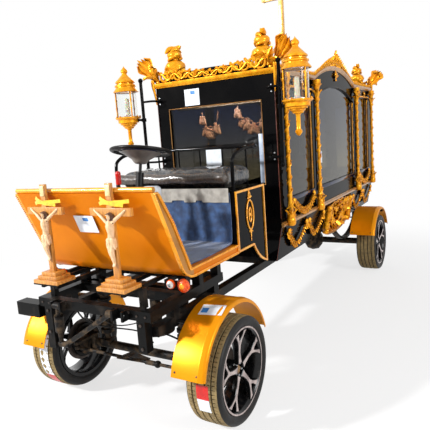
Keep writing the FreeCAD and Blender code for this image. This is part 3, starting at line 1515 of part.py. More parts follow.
def make_lanterns():
    """Two coach lanterns: a ringed hood, three bars, a stepped cup and a long turned stem."""
    low = value("lantern_bottom_z")
    glass = value("lantern_glass_z")
    cap = value("lantern_cap_z")
    top = value("lantern_top_z")
    rim = value("lantern_radius")
    plate = rim + 11
    stem = 14
    cup = [(0, low), (23, low + 30), (stem, low + 44), (stem, glass - 86), (34, glass - 86),
           (49, glass - 66), (64, glass - 64), (66, glass - 46), (80, glass - 44), (82, glass - 20),
           (plate - 8, glass - 14), (plate, glass - 10), (plate, glass), (0, glass)]
    hood = [(0, cap), (rim + 8, cap), (rim + 6, cap + 8), (rim - 12, cap + 34), (rim - 8, cap + 46),
            (rim - 20, cap + 60), (rim - 14, cap + 74), (rim - 18, cap + 86), (40, cap + 112),
            (20, cap + 134), (27, cap + 152), (22, cap + 168), (8, cap + 182), (0, top)]
    x = value("lantern_x")
    parts = []
    for side in (1, -1):
        place = Vector(x, side * value("lantern_y"), 0)
        shape = turned(cup, place).fuse(turned(hood, place))
        bars = []
        for index in range(3):
            angle = math.radians(120 * index + 60)
            spot = place + Vector((rim - 5) * math.cos(angle), (rim - 5) * math.sin(angle), glass)
            bars.append(Part.makeCylinder(5, cap - glass, spot))
        level = glass - 32
        pole = Vector(value("lantern_pole_x"), side * value("lantern_pole_y"), level)
        inner = value("lantern_pole_radius") + 0.3
        arm = stick(pole, place + Vector(0, 0, level), 6)
        collar = Part.makeCylinder(inner + 6, 26, pole - Vector(0, 0, 13))
        bore = Part.makeCylinder(inner, 80, pole - Vector(0, 0, 40))
        shape = shape.fuse(bars + [arm, collar]).cut(bore)
        parts.append(shape.removeSplitter())
    return shape_node("lanterns", Part.makeCompound(parts))


def make_lantern_glass():
    """The round glass of each lantern."""
    glass = value("lantern_glass_z")
    height = value("lantern_cap_z") - glass
    rim = value("lantern_radius") - 12
    parts = []
    for side in (1, -1):
        place = point("lantern_x", "%d * lantern_y" % side, "lantern_glass_z")
        tube = Part.makeCylinder(rim, height, place).cut(Part.makeCylinder(rim - 3, height, place))
        parts.append(tube)
    return shape_node("lantern_glass", Part.makeCompound(parts))


def make_candles():
    """The white candle inside each lantern."""
    parts = []
    tall = value("candle_height")
    profile = [(0, 0), (30, 0), (30, 10), (14, 16), (14, tall - 20), (5, tall - 16), (0, tall)]
    for side in (1, -1):
        place = point("lantern_x", "%d * lantern_y" % side, "lantern_glass_z")
        parts.append(turned(profile, place))
    return shape_node("candles", Part.makeCompound(parts))


def make_lantern_poles():
    """A black upright at each front corner, on two bent arms from the front wall."""
    parts = []
    x = value("lantern_pole_x")
    y = value("lantern_pole_y")
    wall_x = value("body_front_x")
    for side in (1, -1):
        foot = value("pole_foot_z")
        head = foot + value("pole_length")
        pole = Part.makeCylinder(value("lantern_pole_radius"), head - foot, Vector(x, y, foot))
        for level in (foot + 45, head - 150):
            path = [Vector(x, y, level), Vector(x, y - 96, level), Vector(wall_x, y - 96, level)]
            pole = pole.fuse(tube_path(path, 8, 30))
        for level in (foot - 8, head + 8):
            pole = pole.fuse(Part.makeSphere(18, Vector(x, y, level)))
        pole = pole.removeSplitter()
        parts.append(pole if side > 0 else mirrored(pole))
    return shape_node("lantern_poles", Part.makeCompound(parts))


def on_skirt(shape, side):
    """Move a shape drawn on an upright plane (y outwards) onto the slanted skirt."""
    placed = shape.copy()
    slant = math.degrees(math.atan2(value("skirt_tuck"), value("belt_z - skirt_bottom_z")))
    placed.rotate(Vector(0, 0, 0), Vector(1, 0, 0), -slant)
    placed.translate(point("0", "body_half_width - skirt_tuck", "skirt_bottom_z"))
    return placed if side > 0 else mirrored(placed)


def make_swag(half, drop, radius):
    """A hanging garland: a round roll along a shallow arc, with a bell-shaped knot at each end."""
    bend = (half * half + drop * drop) / (2 * drop)
    sweep = 2 * math.degrees(math.asin(half / bend))
    knot = radius * 1.35
    roll = Part.makeTorus(bend, radius, Vector(0, 0, 0), Vector(0, 0, 1), 0, 360, sweep)
    roll.rotate(Vector(0, 0, 0), Vector(0, 0, 1), 270 - sweep / 2)
    roll.rotate(Vector(0, 0, 0), Vector(1, 0, 0), 90)
    roll.translate(Vector(0, radius, bend - drop))
    knots = [Part.makeCone(knot, knot * 0.6, knot * 2.4, Vector(sign * half, knot, -knot * 1.4))
             for sign in (1, -1)]
    return roll.fuse(knots).removeSplitter()


def make_badge():
    """The skirt's central ornament: a plate with scrolls, rolled ends and a raised lower band."""
    half = value("badge_half") - 20
    high = value("badge_height")
    low, foot, crown, band = 35, -60, 45, 24

    def curved(start, middle, end):
        return Part.Arc(Vector(*start), Vector(*middle), Vector(*end)).toShape()

    def straight(start, end):
        return Part.LineSegment(Vector(*start), Vector(*end)).toShape()

    corners = [(-half, 0, low), (half, 0, low), (half, 0, high - crown), (-half, 0, high - crown)]
    outside = [curved(corners[0], (0, 0, foot), corners[1]), straight(corners[1], corners[2]),
               curved(corners[2], (0, 0, high), corners[3]), straight(corners[3], corners[0])]
    rim = [curved(corners[0], (0, 0, foot), corners[1]), straight(corners[1], (half, 0, low + band)),
           curved((half, 0, low + band), (0, 0, foot + band), (-half, 0, low + band)),
           straight((-half, 0, low + band), corners[0])]
    plate = Part.Face(Part.Wire(outside)).extrude(Vector(0, 8, 0))
    pieces = [Part.Face(Part.Wire(rim)).extrude(Vector(0, 22, 0))]
    front = Part.makeBox(4 * half, 100, 4 * high, Vector(-2 * half, 0, -2 * high))
    for sign in (-1, 1):
        roll = Part.makeCylinder(26, high - 10, Vector(sign * (half - 8), 18, -5), Vector(0, 0, 1))
        pieces.append(roll.common(front))
        for place, up, size in ((250, 140, 50), (152, 70, 38), (128, 168, 30)):
            pieces.append(upright_ring(Vector(sign * place, 12, up), size, size * 0.55, 24, Vector(0, 1, 0)))
    pieces.append(upright_ring(Vector(0, 12, 120), 66, 44, 24, Vector(0, 1, 0)))
    pieces.append(Part.makeCylinder(28, 24, Vector(0, 0, 120), Vector(0, 1, 0)))
    return plate.fuse(pieces).removeSplitter()


def make_carvings():
    """Gilt garlands on each skirt and under the small windows, with a scrolled ornament amidships."""
    parts = []
    radius = value("swag_radius")
    centre = value("body_centre_x")
    outer = value("body_length / 2 - column_inset") - 200
    places = [outer, outer - value("swag_pitch")]
    badge = make_badge().translated(Vector(centre, 0, 0))
    hung = value("belt_z - skirt_bottom_z") - 40
    skirt_swag = make_swag(value("swag_half"), value("swag_drop"), radius)
    sill_swag = make_swag(value("sill_swag_half"), value("sill_swag_drop"), radius - 3)
    sill = point("0", "body_half_width", "window_sill_z - 36")
    for side in (1, -1):
        for offset in places:
            for middle in (centre + offset, centre - offset):
                parts.append(on_skirt(skirt_swag.translated(Vector(middle, 0, hung)), side))
        for middle in (value("small_window_x"), 2 * centre - value("small_window_x")):
            swag = sill_swag.translated(sill + Vector(middle, 0, 0))
            parts.append(swag if side > 0 else mirrored(swag))
        parts.append(on_skirt(badge, side))
    return shape_node("carvings", Part.makeCompound(parts))


def make_crosses():
    """Two wooden crosses on stepped bases, in front of the dash."""
    parts = []
    x = value("crucifix_x")
    base = value("crucifix_base_z")
    length = value("crucifix_base_length")
    width = value("crucifix_base_width")
    post_w = value("crucifix_post_width")
    post_d = value("crucifix_post_depth")
    top = base + value("crucifix_height")
    arms = value("crucifix_arm_span")
    for side in (1, -1):
        y = side * value("crucifix_y")
        tiers = []
        level = base
        for share, height in ((1, 20), (0.76, 18), (0.54, 18)):
            tiers.append(Part.makeBox(length * share, width * share, height,
                                      Vector(x - length * share / 2, y - width * share / 2, level)))
            level += height
        post = Part.makeBox(post_d, post_w, top - level, Vector(x - post_d / 2, y - post_w / 2, level))
        bar = Part.makeBox(post_d, arms, post_w, Vector(x - post_d / 2, y - arms / 2, top - 150))
        plate = Part.makeBox(6, 72, 26, Vector(x + post_d / 2, y - 36, top - 62))
        parts.append(tiers[0].fuse(tiers[1:] + [post, bar, plate]).removeSplitter())
    return shape_node("crosses", Part.makeCompound(parts))


def make_figures():
    """The carved figure on each cross, arms along its bar and feet on its post."""
    parts = []
    face_x = value("crucifix_x + crucifix_post_depth / 2")
    top = value("crucifix_base_z + crucifix_height")
    shoulder = top - 132 - 14
    for side in (1, -1):
        y = side * value("crucifix_y")

        def spot(forward, across, up):
            return Vector(face_x + forward, y + across, shoulder + up)

        body = stick(spot(18, 0, -110), spot(18, 0, 12), 17)
        body = body.fuse([
            Part.makeSphere(17, spot(22, 4, 28)),
            stick(spot(20, 0, -106), spot(30, -10, -170), 13),
            stick(spot(30, -10, -170), spot(12, 0, -246), 10),
            stick(spot(14, 0, 0), spot(10, 100, 24), 8),
            stick(spot(14, 0, 0), spot(10, -100, 24), 8),
            stick(spot(22.3, 0, -122), spot(22.3, 0, -86), 22),
        ])
        parts.append(body.removeSplitter())
    return shape_node("figures", Part.makeCompound(parts))


def make_running_lamps():
    """Two round marker lamps under each end of the dash."""
    parts = []
    x = value("lamp_x")
    z = value("lamp_z")
    for side in (1, -1):
        for place, size in (("lamp_inner_y", "small_lamp_radius"), ("lamp_outer_y", "large_lamp_radius")):
            radius = value(size)
            lamp = turned([(0, 0), (radius, 0), (radius, 14), (radius * 0.7, 22), (0, 26)], Vector(0, 0, 0))
            lamp.rotate(Vector(0, 0, 0), Vector(0, 1, 0), 90)
            lamp.translate(Vector(x, side * value(place), z))
            parts.append(lamp)
    return shape_node("running_lamps", Part.makeCompound(parts))


make_chassis_frame()
make_front_axle()
make_rear_axle()
make_drive_motor()
make_suspension()
make_brake_servo()
make_tie_rod()
make_front_fenders()
make_rear_fenders()
for word, side in SIDES:
    front_y = "%d * front_wheel_y" % side
    rear_y = "%d * rear_wheel_y" % side
    make_knuckle(word, side)
    make_tyre("tyre_front_" + word, "0", front_y)
    make_rim("rim_front_" + word, "0", front_y, side)
    make_tyre("tyre_rear_" + word, "-wheelbase", rear_y)
    make_rim("rim_rear_" + word, "-wheelbase", rear_y, side)
    make_side_wall(word, side)
    make_door(word, side)
make_floor_tray()
make_dash_board()
make_cab_trim()
make_seat_box()
make_seat_cushion()
make_seat_rail()
make_steering_wheel()
make_driver_controls()
make_front_wall()
make_rear_frame()
make_roof()
make_load_deck()
make_window_glass()
make_columns()
make_mouldings()
make_cresting()
make_corner_leaves()
make_roof_ornaments()
make_lanterns()
make_lantern_glass()
make_candles()
make_lantern_poles()
make_carvings()
make_crosses()
make_figures()
make_running_lamps()

doc.recompute()
for thing in doc.Objects:
    if "Invalid" in thing.State or "Error" in thing.State:
        raise RuntimeError("%s failed to build" % thing.Name)
for thing in nodes:
    if thing.Shape.isNull() or not thing.Shape.isValid() or not thing.Shape.Solids:
        raise RuntimeError("%s has no valid solid" % thing.Label)

os.makedirs("parts", exist_ok=True)
for thing in nodes:
    thing.Shape.exportStep("parts/%s.step" % thing.Label)
print("%d sub-parts" % len(nodes))
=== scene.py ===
import json
import math
import random

import bmesh
import bpy
from mathutils import Matrix, Vector


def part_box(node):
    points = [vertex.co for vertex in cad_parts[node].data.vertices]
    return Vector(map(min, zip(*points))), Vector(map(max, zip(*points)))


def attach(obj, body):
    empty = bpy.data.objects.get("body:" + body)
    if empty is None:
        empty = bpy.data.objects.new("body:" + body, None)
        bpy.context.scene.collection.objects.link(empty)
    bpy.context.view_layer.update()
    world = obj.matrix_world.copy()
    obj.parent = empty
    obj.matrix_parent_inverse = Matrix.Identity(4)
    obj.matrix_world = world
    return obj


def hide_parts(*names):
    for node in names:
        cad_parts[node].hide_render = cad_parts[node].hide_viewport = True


# The looks of a carriage-bodied hearse, in metres, in the same frame as the solids.
# +X is forward, +Y is to the vehicle's left, +Z is up, and the floor is at z = 0.
# Pieces are drawn in millimetres from the front axle and are then moved into the frame.

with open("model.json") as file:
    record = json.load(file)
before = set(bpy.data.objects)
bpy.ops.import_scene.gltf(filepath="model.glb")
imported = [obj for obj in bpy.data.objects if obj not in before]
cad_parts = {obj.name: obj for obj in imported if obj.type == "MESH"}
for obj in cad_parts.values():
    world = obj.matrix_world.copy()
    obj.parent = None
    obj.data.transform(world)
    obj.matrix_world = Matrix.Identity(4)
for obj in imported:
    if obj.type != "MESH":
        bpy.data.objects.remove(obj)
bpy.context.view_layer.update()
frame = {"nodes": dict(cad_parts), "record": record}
nodes = frame["nodes"]

axle_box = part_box("front_axle")
axle_x = (axle_box[0].x + axle_box[1].x) / 2
from_axle = Matrix.Translation((axle_x, 0, 0)) @ Matrix.Scale(0.001, 4)


def reach(node):
    """A node's lowest and highest corners, in millimetres from the front axle."""
    return [from_axle.inverted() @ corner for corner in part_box(node)]


# Sizes in millimetres, from the solids where they give them

wall = 28
body_half = reach("side_wall_left")[1].y
body_front = reach("front_wall")[1].x
body_rear = reach("side_wall_left")[0].x - wall
body_middle = (body_front + body_rear) / 2
belt_low, cornice_low = 845, 1895
strip_tall = 34
strip_out = 22
belt_top, cornice_top = belt_low + strip_tall, cornice_low + strip_tall
eave = 1940
skirt_low = reach("side_wall_left")[0].z
skirt_tuck = 49
arch_half, arch_rise = 620, 120
arch_radius = (arch_half ** 2 + arch_rise ** 2) / (2 * arch_rise)
column_y = body_half + 34
column_x = [body_front - 100, body_front - 780, body_rear + 780, body_rear + 100]
sill_z, small_top, middle_spring, middle_rise = 1030, 1800, 1750, 115
small_half, middle_half = 280, 610
small_middle = [body_front - 440, body_rear + 440]
front_window = (381, 1150, 1730)
cab_half = body_half - 29
floor_top = 862
seat_front, seat_rear, seat_top = -385, -785, 1180
wheel_radius = 287
wheel_places = {
    "front_left": (0, 557.5), "front_right": (0, -557.5),
    "rear_left": (-3087, 638.5), "rear_right": (-3087, -638.5),
}
up_axis, along_axis, across_axis = Vector((0, 0, 1)), Vector((1, 0, 0)), Vector((0, 1, 0))
mirrors = [Matrix.Diagonal((1, side, 1, 1)) for side in (1, -1)]
full_turn, quarter_turn = 2 * math.pi, math.pi / 2
skirt_lean = math.atan2(skirt_tuck, belt_low - skirt_low)
belt_section = [(0, 0), (9, 0), (15, 4), (15, 9), (21, 12), (22, 18), (19, 24), (12, 26), (12, 30), (8, 34),
                (0, 34)]
cornice_section = [(0, 0), (8, 0), (10, 5), (15, 9), (19, 16), (21.8, 22), (21.8, 34), (0, 34)]
dash_edges = (
    [(seat_front + 4, floor_top - 47), (112, floor_top - 47), (150, floor_top - 40), (186, floor_top - 20),
     (212, floor_top + 10), (392, 1270)],
    [(seat_front + 4, floor_top), (138, floor_top), (168, floor_top + 68), (258, floor_top + 258),
     (354, 1270)],
)
column_lean = math.radians(12)
column_axis = Vector((-math.sin(column_lean), 0, math.cos(column_lean)))
hand_wheel_centre = Vector((-130, 0, 1450))
cross_x, cross_y, cross_base, cross_tall = 410, 220, 818, 510


# Shader helpers

def colour(code):
    """Linear colour from an sRGB hex code."""
    shares = [int(code[index:index + 2], 16) / 255 for index in (0, 2, 4)]
    return [c / 12.92 if c <= 0.04045 else ((c + 0.055) / 1.055) ** 2.4 for c in shares] + [1.0]


def add(tree, kind, inputs=None, **settings):
    """Add one shader node, set its own settings, and fill or link its sockets."""
    node = tree.nodes.new("ShaderNode" + kind)
    for name, setting in settings.items():
        setattr(node, name, setting)
    for socket, given in (inputs or {}).items():
        if isinstance(given, bpy.types.NodeSocket):
            tree.links.new(given, node.inputs[socket])
        else:
            node.inputs[socket].default_value = given
    return node


def per_mm(size):
    """A texture scale, on metre coordinates, for a pattern of a size in millimetres."""
    return 1000 / size


def new_finish(name, **sockets):
    """A material with one principled shader. Returns it with its tree, shader and position."""
    material = bpy.data.materials.new(name)
    material.use_nodes = True
    tree = material.node_tree
    tree.nodes.clear()
    words = {key.replace("_", " "): given for key, given in sockets.items()}
    shader = add(tree, "BsdfPrincipled", words)
    add(tree, "OutputMaterial", {"Surface": shader.outputs[0]})
    return material, tree, shader, add(tree, "TexCoord").outputs["Object"]


def patches(tree, place, size, low, high, detail=4.0, stretch=(1, 1, 1)):
    """Soft uneven patches of a size in millimetres, from 0 to 1 between two noise levels."""
    spread = add(tree, "Mapping", {"Vector": place, "Scale": stretch})
    noise = add(tree, "TexNoise", {"Vector": spread.outputs[0], "Scale": per_mm(size), "Detail": detail})
    level = add(tree, "MapRange", {"Value": noise.outputs[0], "From Min": low, "From Max": high})
    return level.outputs[0]


def blended(tree, share, first, second):
    """A colour between two, by a share from 0 to 1."""
    mix = add(tree, "Mix", {0: share, 6: first, 7: second}, data_type="RGBA")
    return mix.outputs[2]


def bumped(tree, shader, height, millimetres, strength=1.0):
    """Let a height field tilt the surface's light, by a depth in millimetres."""
    bump = add(tree, "Bump", {"Height": height, "Distance": millimetres / 1000, "Strength": strength})
    tree.links.new(bump.outputs[0], shader.inputs["Normal"])


def ranged(tree, share, low, high):
    """A value that runs from low to high as the share runs from 0 to 1."""
    return add(tree, "MapRange", {"Value": share, "To Min": low, "To Max": high}).outputs[0]


def mottled(name, size, first, second, rough, bump, coat=(0, 0.03), levels=(0.4, 0.7), gloss=0.5, **sockets):
    """A finish that drifts between two colours in patches, duller in one than the other."""
    material, tree, shader, place = new_finish(name, Coat_Weight=coat[0], Coat_Roughness=coat[1],
                                               Specular_IOR_Level=gloss, **sockets)
    share = patches(tree, place, size, *levels, 6.0)
    tree.links.new(blended(tree, share, colour(first), colour(second)), shader.inputs["Base Color"])
    tree.links.new(ranged(tree, share, *rough), shader.inputs["Roughness"])
    grain, depth, strength = bump
    bumped(tree, shader, patches(tree, place, grain, 0.3, 0.7, 3.0), depth, strength)
    return material


# Finishes

def carved_gold(name, raised, worn, hollow_shade):
    """Gold paint over carving: bright on the raised parts, with painted shade in burnt orange in the hollows.
    """
    material, tree, shader, place = new_finish(name, Metallic=0.45, Specular_IOR_Level=0.2,
                                               Coat_Weight=0.12, Coat_Roughness=0.12)
    depth = add(tree, "AmbientOcclusion", {"Distance": 0.03}, samples=8)
    wear = patches(tree, place, 35, 0.35, 0.65)
    paint = blended(tree, wear, colour(raised), colour(worn))
    # Painted shade: where ambient occlusion finds a hollow, the colour goes to the hollow shade colour
    unshaded_share = add(tree, "MapRange", {"Value": depth.outputs["AO"], "From Min": 0.25, "From Max": 0.85})
    tree.links.new(blended(tree, unshaded_share.outputs[0], colour(hollow_shade), paint), shader.inputs["Base Color"])
    tree.links.new(ranged(tree, wear, 0.2, 0.36), shader.inputs["Roughness"])
    bumped(tree, shader, patches(tree, place, 5, 0.3, 0.7), 0.3, 0.5)
    return material


def figured_cloth():
    """Woven brocade in near black with brown-gold scrolls, under a clear film that gives it gloss."""
    material, tree, shader, place = new_finish("figured_brocade_under_film", Roughness=0.55, IOR=1.45,
                                               Coat_Weight=0.9, Coat_Roughness=0.08)
    drift = add(tree, "TexNoise", {"Vector": place, "Scale": per_mm(60), "Detail": 2.0})
    bent = add(tree, "Mix", {0: 0.12, 4: place, 5: drift.outputs["Color"]}, data_type="VECTOR")
    cells = add(tree, "TexVoronoi", {"Vector": bent.outputs[1], "Scale": per_mm(38)},
                feature="DISTANCE_TO_EDGE")
    scroll = add(tree, "MapRange", {"Value": cells.outputs[0], "From Min": 0.04, "From Max": 0.16,
                                    "To Min": 1.0, "To Max": 0.0})
    ground = blended(tree, patches(tree, place, 90, 0.4, 0.6), colour("10141e"), colour("20262f"))
    tree.links.new(blended(tree, scroll.outputs[0], ground, colour("4e4b46")), shader.inputs["Base Color"])
    creases = patches(tree, place, 70, 0.35, 0.65, 3.0, (2.0, 0.6, 1.0))
    bumped(tree, shader, creases, 9.0, 0.9)
    return material


def woven_cloth(name, ground, thread):
    """Plain woven upholstery cloth; its 3 mm threads are drawn coarser than real, so that they show."""
    material, tree, shader, place = new_finish(name, Roughness=0.85, IOR=1.45, Sheen_Weight=0.3,
                                               Sheen_Roughness=0.4)
    weave = [add(tree, "TexWave", {"Vector": place, "Scale": per_mm(3) / 6.28}, bands_direction=way)
             for way in ("Y", "Z")]
    cross = add(tree, "Math", {0: weave[0].outputs["Fac"], 1: weave[1].outputs["Fac"]}, operation="MULTIPLY")
    stain = patches(tree, place, 50, 0.4, 0.7)
    tree.links.new(blended(tree, stain, colour(ground), colour(thread)), shader.inputs["Base Color"])
    bumped(tree, shader, cross.outputs[0], 0.4, 0.6)
    return material


def window_pane(name, tint, haze, low=None, high=None):
    """Float glass: sharp reflections over a greyish view; given a low and a high colour, its colour runs up
    its height between them as a painted reflection.
    """
    material, tree, shader, place = new_finish(name, IOR=1.3, Transmission_Weight=1.0,
                                               Base_Color=colour(tint))
    tree.links.new(ranged(tree, patches(tree, place, 150, 0.5, 0.8), 0.0, haze), shader.inputs["Roughness"])
    # Painted reflection: warm grey low on the pane, dark blue high on it
    if low:
        height = add(tree, "SeparateXYZ", {0: place}).outputs["Z"]
        share = add(tree, "MapRange", {"Value": height, "From Min": 1.1, "From Max": 1.75}).outputs[0]
        tree.links.new(blended(tree, share, colour(low), colour(high)), shader.inputs["Base Color"])
    return material


def grained_wood(name, light, dark, size, stretch, coat):
    """Planed wood with long grain along one axis, under varnish."""
    material, tree, shader, place = new_finish(name, Coat_Weight=coat, Coat_Roughness=0.15)
    grain = patches(tree, place, size, 0.35, 0.65, 8.0, stretch)
    tree.links.new(blended(tree, grain, colour(dark), colour(light)), shader.inputs["Base Color"])
    tree.links.new(ranged(tree, grain, 0.35, 0.5), shader.inputs["Roughness"])
    bumped(tree, shader, grain, 0.2, 0.4)
    return material


def painted_resin():
    """Cast resin painted in cream, with painted shade in brown in the hollows."""
    material, tree, shader, place = new_finish("cream_painted_resin", Roughness=0.5)
    depth = add(tree, "AmbientOcclusion", {"Distance": 0.02}, samples=8)
    paint = blended(tree, patches(tree, place, 20, 0.4, 0.7), colour("dcb890"), colour("cda478"))
    # Painted shade: brown where ambient occlusion finds hollows
    tree.links.new(blended(tree, depth.outputs["AO"], colour("8a5a3a"), paint), shader.inputs["Base Color"])
    bumped(tree, shader, patches(tree, place, 6, 0.3, 0.7), 0.2, 0.3)
    return material


# Bumps, each with the grain's size and depth in millimetres and a strength
sprayed, moulded, worn_grain = (3, 0.05, 0.2), (1.5, 0.1, 0.3), (3, 0.1, 0.3)

# Gold paints: painted shade in orange in the hollows of carving, browner and duller on flat panels and bands
gold_leaf = carved_gold("gold_paint_on_carving", "e08c08", "f0a81c", "5c2002")
gold_pale = carved_gold("pale_gold_paint_on_moulding", "d3983c", "ecbf72", "6a3208")
dash_gold = mottled("orange_gold_panel_paint", 300, "cc7004", "d67c06", (0.34, 0.4), (3, 0.03, 0.15),
                    gloss=0.08, Metallic=0.35)
edge_gold = mottled("yellow_gold_edge_paint", 60, "e59410", "f2ac28", (0.25, 0.35), sprayed, (0.5, 0.1),
                    Metallic=0.3)
fender_gold = mottled("yellow_gold_fender_paint", 90, "dc8c06", "c97c0c", (0.36, 0.46), sprayed,
                      levels=(0.5, 0.9), gloss=0.15, Metallic=0.4)
band_gold = mottled("brown_gold_edge_paint", 120, "a86f12", "8f5c0e", (0.3, 0.45), (4, 0.1, 0.3), (0.3, 0.15),
                    Metallic=0.3)
bronze_strip = mottled("bronze_strip_paint", 70, "9a6a30", "c49050", (0.28, 0.42), worn_grain, (0.4, 0.12),
                       Metallic=0.5)
pale_plate = mottled("pale_gold_bare_plate", 20, "e6d3a2", "cbb27a", (0.3, 0.45), (2, 0.05, 0.2),
                     Metallic=0.3)

# Black paints: sprayed enamel mirrors sharply, frame paint is dulled by road dust
black_enamel = mottled("sprayed_black_enamel", 240, "050506", "0c0b0b", (0.07, 0.2), sprayed, (0.1, 0.05),
                       gloss=0.02)
# Blue-black enamel is a painted blue reflection, on the window sills and on the hand wheel's ring
blue_reflection_enamel = mottled("black_enamel_painted_blue_reflection", 240, "0b1430", "101d42", (0.1, 0.2), sprayed, gloss=0.3)
frame_paint = mottled("satin_black_frame_paint", 90, "0e0e0e", "3c342c", (0.3, 0.65), (6, 0.2, 0.4),
                      levels=(0.52, 0.85), gloss=0.1)
axle_grime = mottled("grimy_black_steel", 45, "141211", "5a4a38", (0.45, 0.85), (5, 0.5, 0.6),
                     levels=(0.44, 0.72), gloss=0.12)
rust_edge = mottled("red_brown_undercoat", 25, "64220c", "3f150a", (0.5, 0.8), (4, 0.2, 0.5))

# Plastics and films: moulded grain under a soft shine, and smooth blank film
plastic = mottled("moulded_black_plastic", 60, "0b0b0b", "191716", (0.3, 0.45), (1.2, 0.1, 0.4), gloss=0.15)
bowl_plastic = mottled("moulded_grey_brown_plastic", 60, "6a655f", "857f77", (0.3, 0.42), moulded, gloss=0.35)
pale_plastic = mottled("moulded_pale_grey_plastic", 40, "bfc4ca", "a4a9b0", (0.3, 0.45), moulded)
red_plastic = mottled("moulded_red_plastic", 30, "c41a12", "a5140f", (0.25, 0.35), (1.5, 0.05, 0.2))
white_film = mottled("blank_white_label_film", 30, "d8dce2", "c6ced8", (0.25, 0.4), (4, 0.05, 0.2))
blue_film = mottled("blank_blue_label_film", 30, "2a6fb4", "3f86c8", (0.25, 0.4), (4, 0.05, 0.2))
grey_film = mottled("blue_grey_masking_film", 40, "9aa8bd", "b7c2d0", (0.3, 0.45), (4, 0.1, 0.3))
lens_orange = mottled("orange_red_lens", 8, "d63c0c", "ec6a1c", (0.08, 0.2), (3, 0.3, 0.5), IOR=1.49,
                      Transmission_Weight=0.1)
lens_white = mottled("white_lens", 8, "f2f0ec", "d8d4d0", (0.08, 0.2), (3, 0.3, 0.5), IOR=1.49,
                     Transmission_Weight=0.1)
candle_wax = mottled("cream_candle_wax", 30, "f2ead6", "e0d2b0", (0.4, 0.5), (8, 0.1, 0.3), IOR=1.44,
                     Subsurface_Weight=0.3, Subsurface_Scale=0.01)

# Wheels: matt rubber that goes tan with dust on the tread, lacquered and machined alloy, bare steel
side_rubber = mottled("sidewall_rubber", 40, "121111", "2e2924", (0.5, 0.8), (4, 0.3, 0.4),
                      levels=(0.5, 0.85),
                      gloss=0.25)
tread_rubber = mottled("dusty_tread_rubber", 30, "6a5a3a", "8f7a50", (0.75, 0.95), (3, 0.4, 0.6),
                       levels=(0.3, 0.7))
rim_lacquer = mottled("black_lacquered_alloy", 30, "0b0b0c", "24201e", (0.15, 0.4), sprayed,
                      levels=(0.5, 0.85), gloss=0.3)
rim_machined = mottled("machined_alloy_face", 40, "cfbfba", "9a8a88", (0.25, 0.4), (1.5, 0.05, 0.3),
                       Metallic=0.9)
disc_steel = mottled("dull_dark_steel", 25, "4a403a", "2e2825", (0.4, 0.6), (2, 0.1, 0.4), Metallic=0.6)
bronze_cap = mottled("dusty_bronze_cap", 12, "8a6a44", "6b4f32", (0.4, 0.6), (2, 0.1, 0.4), Metallic=0.3)
bolt_zinc = mottled("zinc_plated_steel", 10, "b9bcc0", "8c8f94", (0.25, 0.45), (2, 0.1, 0.3), Metallic=0.9)

# Cloths: pile and weave scatter the light, and satin and film give it back in soft bands
# The carpet's dark navy is partly the cloth's own blue and partly painted shade
blue_carpet_and_shade = mottled("blue_cut_pile_carpet_and_painted_shade", 45, "183257", "34588a", (0.9, 1.0), (4, 2.5, 1.0),
                      Sheen_Weight=0.4, Sheen_Roughness=0.5, IOR=1.45)
yellow_ribbon = mottled("yellow_satin_ribbon", 20, "f0c21c", "d99e12", (0.35, 0.5), (3, 0.2, 0.4), IOR=1.45,
                        Sheen_Weight=0.4)
# The cord's pale copper is partly its own colour and partly painted light, lifted for the sun that falls on
# it behind the glass
copper_cord = mottled("copper_cord_with_painted_light", 14, "ffb878", "e88a48", (0.45, 0.65), (4, 0.6, 0.8))
brocade = figured_cloth()
# The grey-beige band below the cushion is painted sunlight on the seat's front cloth
sunlit_band_cloth = woven_cloth("grey_beige_cloth_painted_sunlight", "a29e96", "827e78")
roll_cloth = mottled("brown_grey_roll_under_film", 22, "4c423a", "2a2522", (0.25, 0.5), (16, 3.0, 0.8),
                     (0.7, 0.1), IOR=1.45)

# Glass, timber and cast resin
# The window glass carries a painted reflection, warm grey below and dark blue above
glass_with_painted_reflection = window_pane("float_glass_painted_reflection", "bccbd0", 0.03, "8c8672", "3c4a68")
lantern_pane = window_pane("clear_lantern_glass", "fafcfb", 0.01)
oak = grained_wood("varnished_light_oak", "d0923e", "a1642a", 6, (1, 1, 0.1), 0.3)
deck_boards = grained_wood("dark_stained_boards", "52331c", "24150c", 12, (0.06, 1, 1), 0.1)
resin = painted_resin()
brown_resin = mottled("brown_painted_resin", 12, "5a3418", "3d2210", (0.5, 0.7), (4, 0.3, 0.5))

slot_finishes = {
    "black_gloss": black_enamel, "black_frame": frame_paint, "black_tube": black_enamel,
    "axle_steel": axle_grime, "gilt": gold_leaf, "gold_dash": dash_gold, "gold_fender": fender_gold,
    "floor_gold": dash_gold, "seat_fabric": brocade, "control_plastic": plastic, "deck_wood": deck_boards,
    "glass": glass_with_painted_reflection, "candle_wax": candle_wax, "oak": oak, "ivory_resin": resin,
    "lamp_lens": lens_orange, "tyre": side_rubber, "alloy": rim_lacquer,
}
for sub_part in frame["record"]["subparts"]:
    name = sub_part["node"]
    finish = lantern_pane if name == "lantern_glass" else slot_finishes[sub_part["material_slot"]]
    nodes[name].data.materials.clear()
    nodes[name].data.materials.append(finish)


# Shape helpers

def plain_mesh(shape, name="part"):
    """Give a shape back as a mesh."""
    mesh = bpy.data.meshes.new(name)
    shape.to_mesh(mesh)
    shape.free()
    return mesh


def as_mesh(shape):
    """Close a shape's seams, turn its faces outwards and give it back as a mesh."""
    bmesh.ops.remove_doubles(shape, verts=shape.verts, dist=0.001)
    bmesh.ops.recalc_face_normals(shape, faces=shape.faces)
    return plain_mesh(shape)


def as_object(shape, name):
    """Put a shape in the scene as an object."""
    thing = bpy.data.objects.new(name, plain_mesh(shape, name))
    bpy.context.scene.collection.objects.link(thing)
    return thing


def at(*place):
    """A placing matrix that moves a part to a point, given as three numbers or as one vector."""
    return Matrix.Translation(place if len(place) == 3 else place[0])


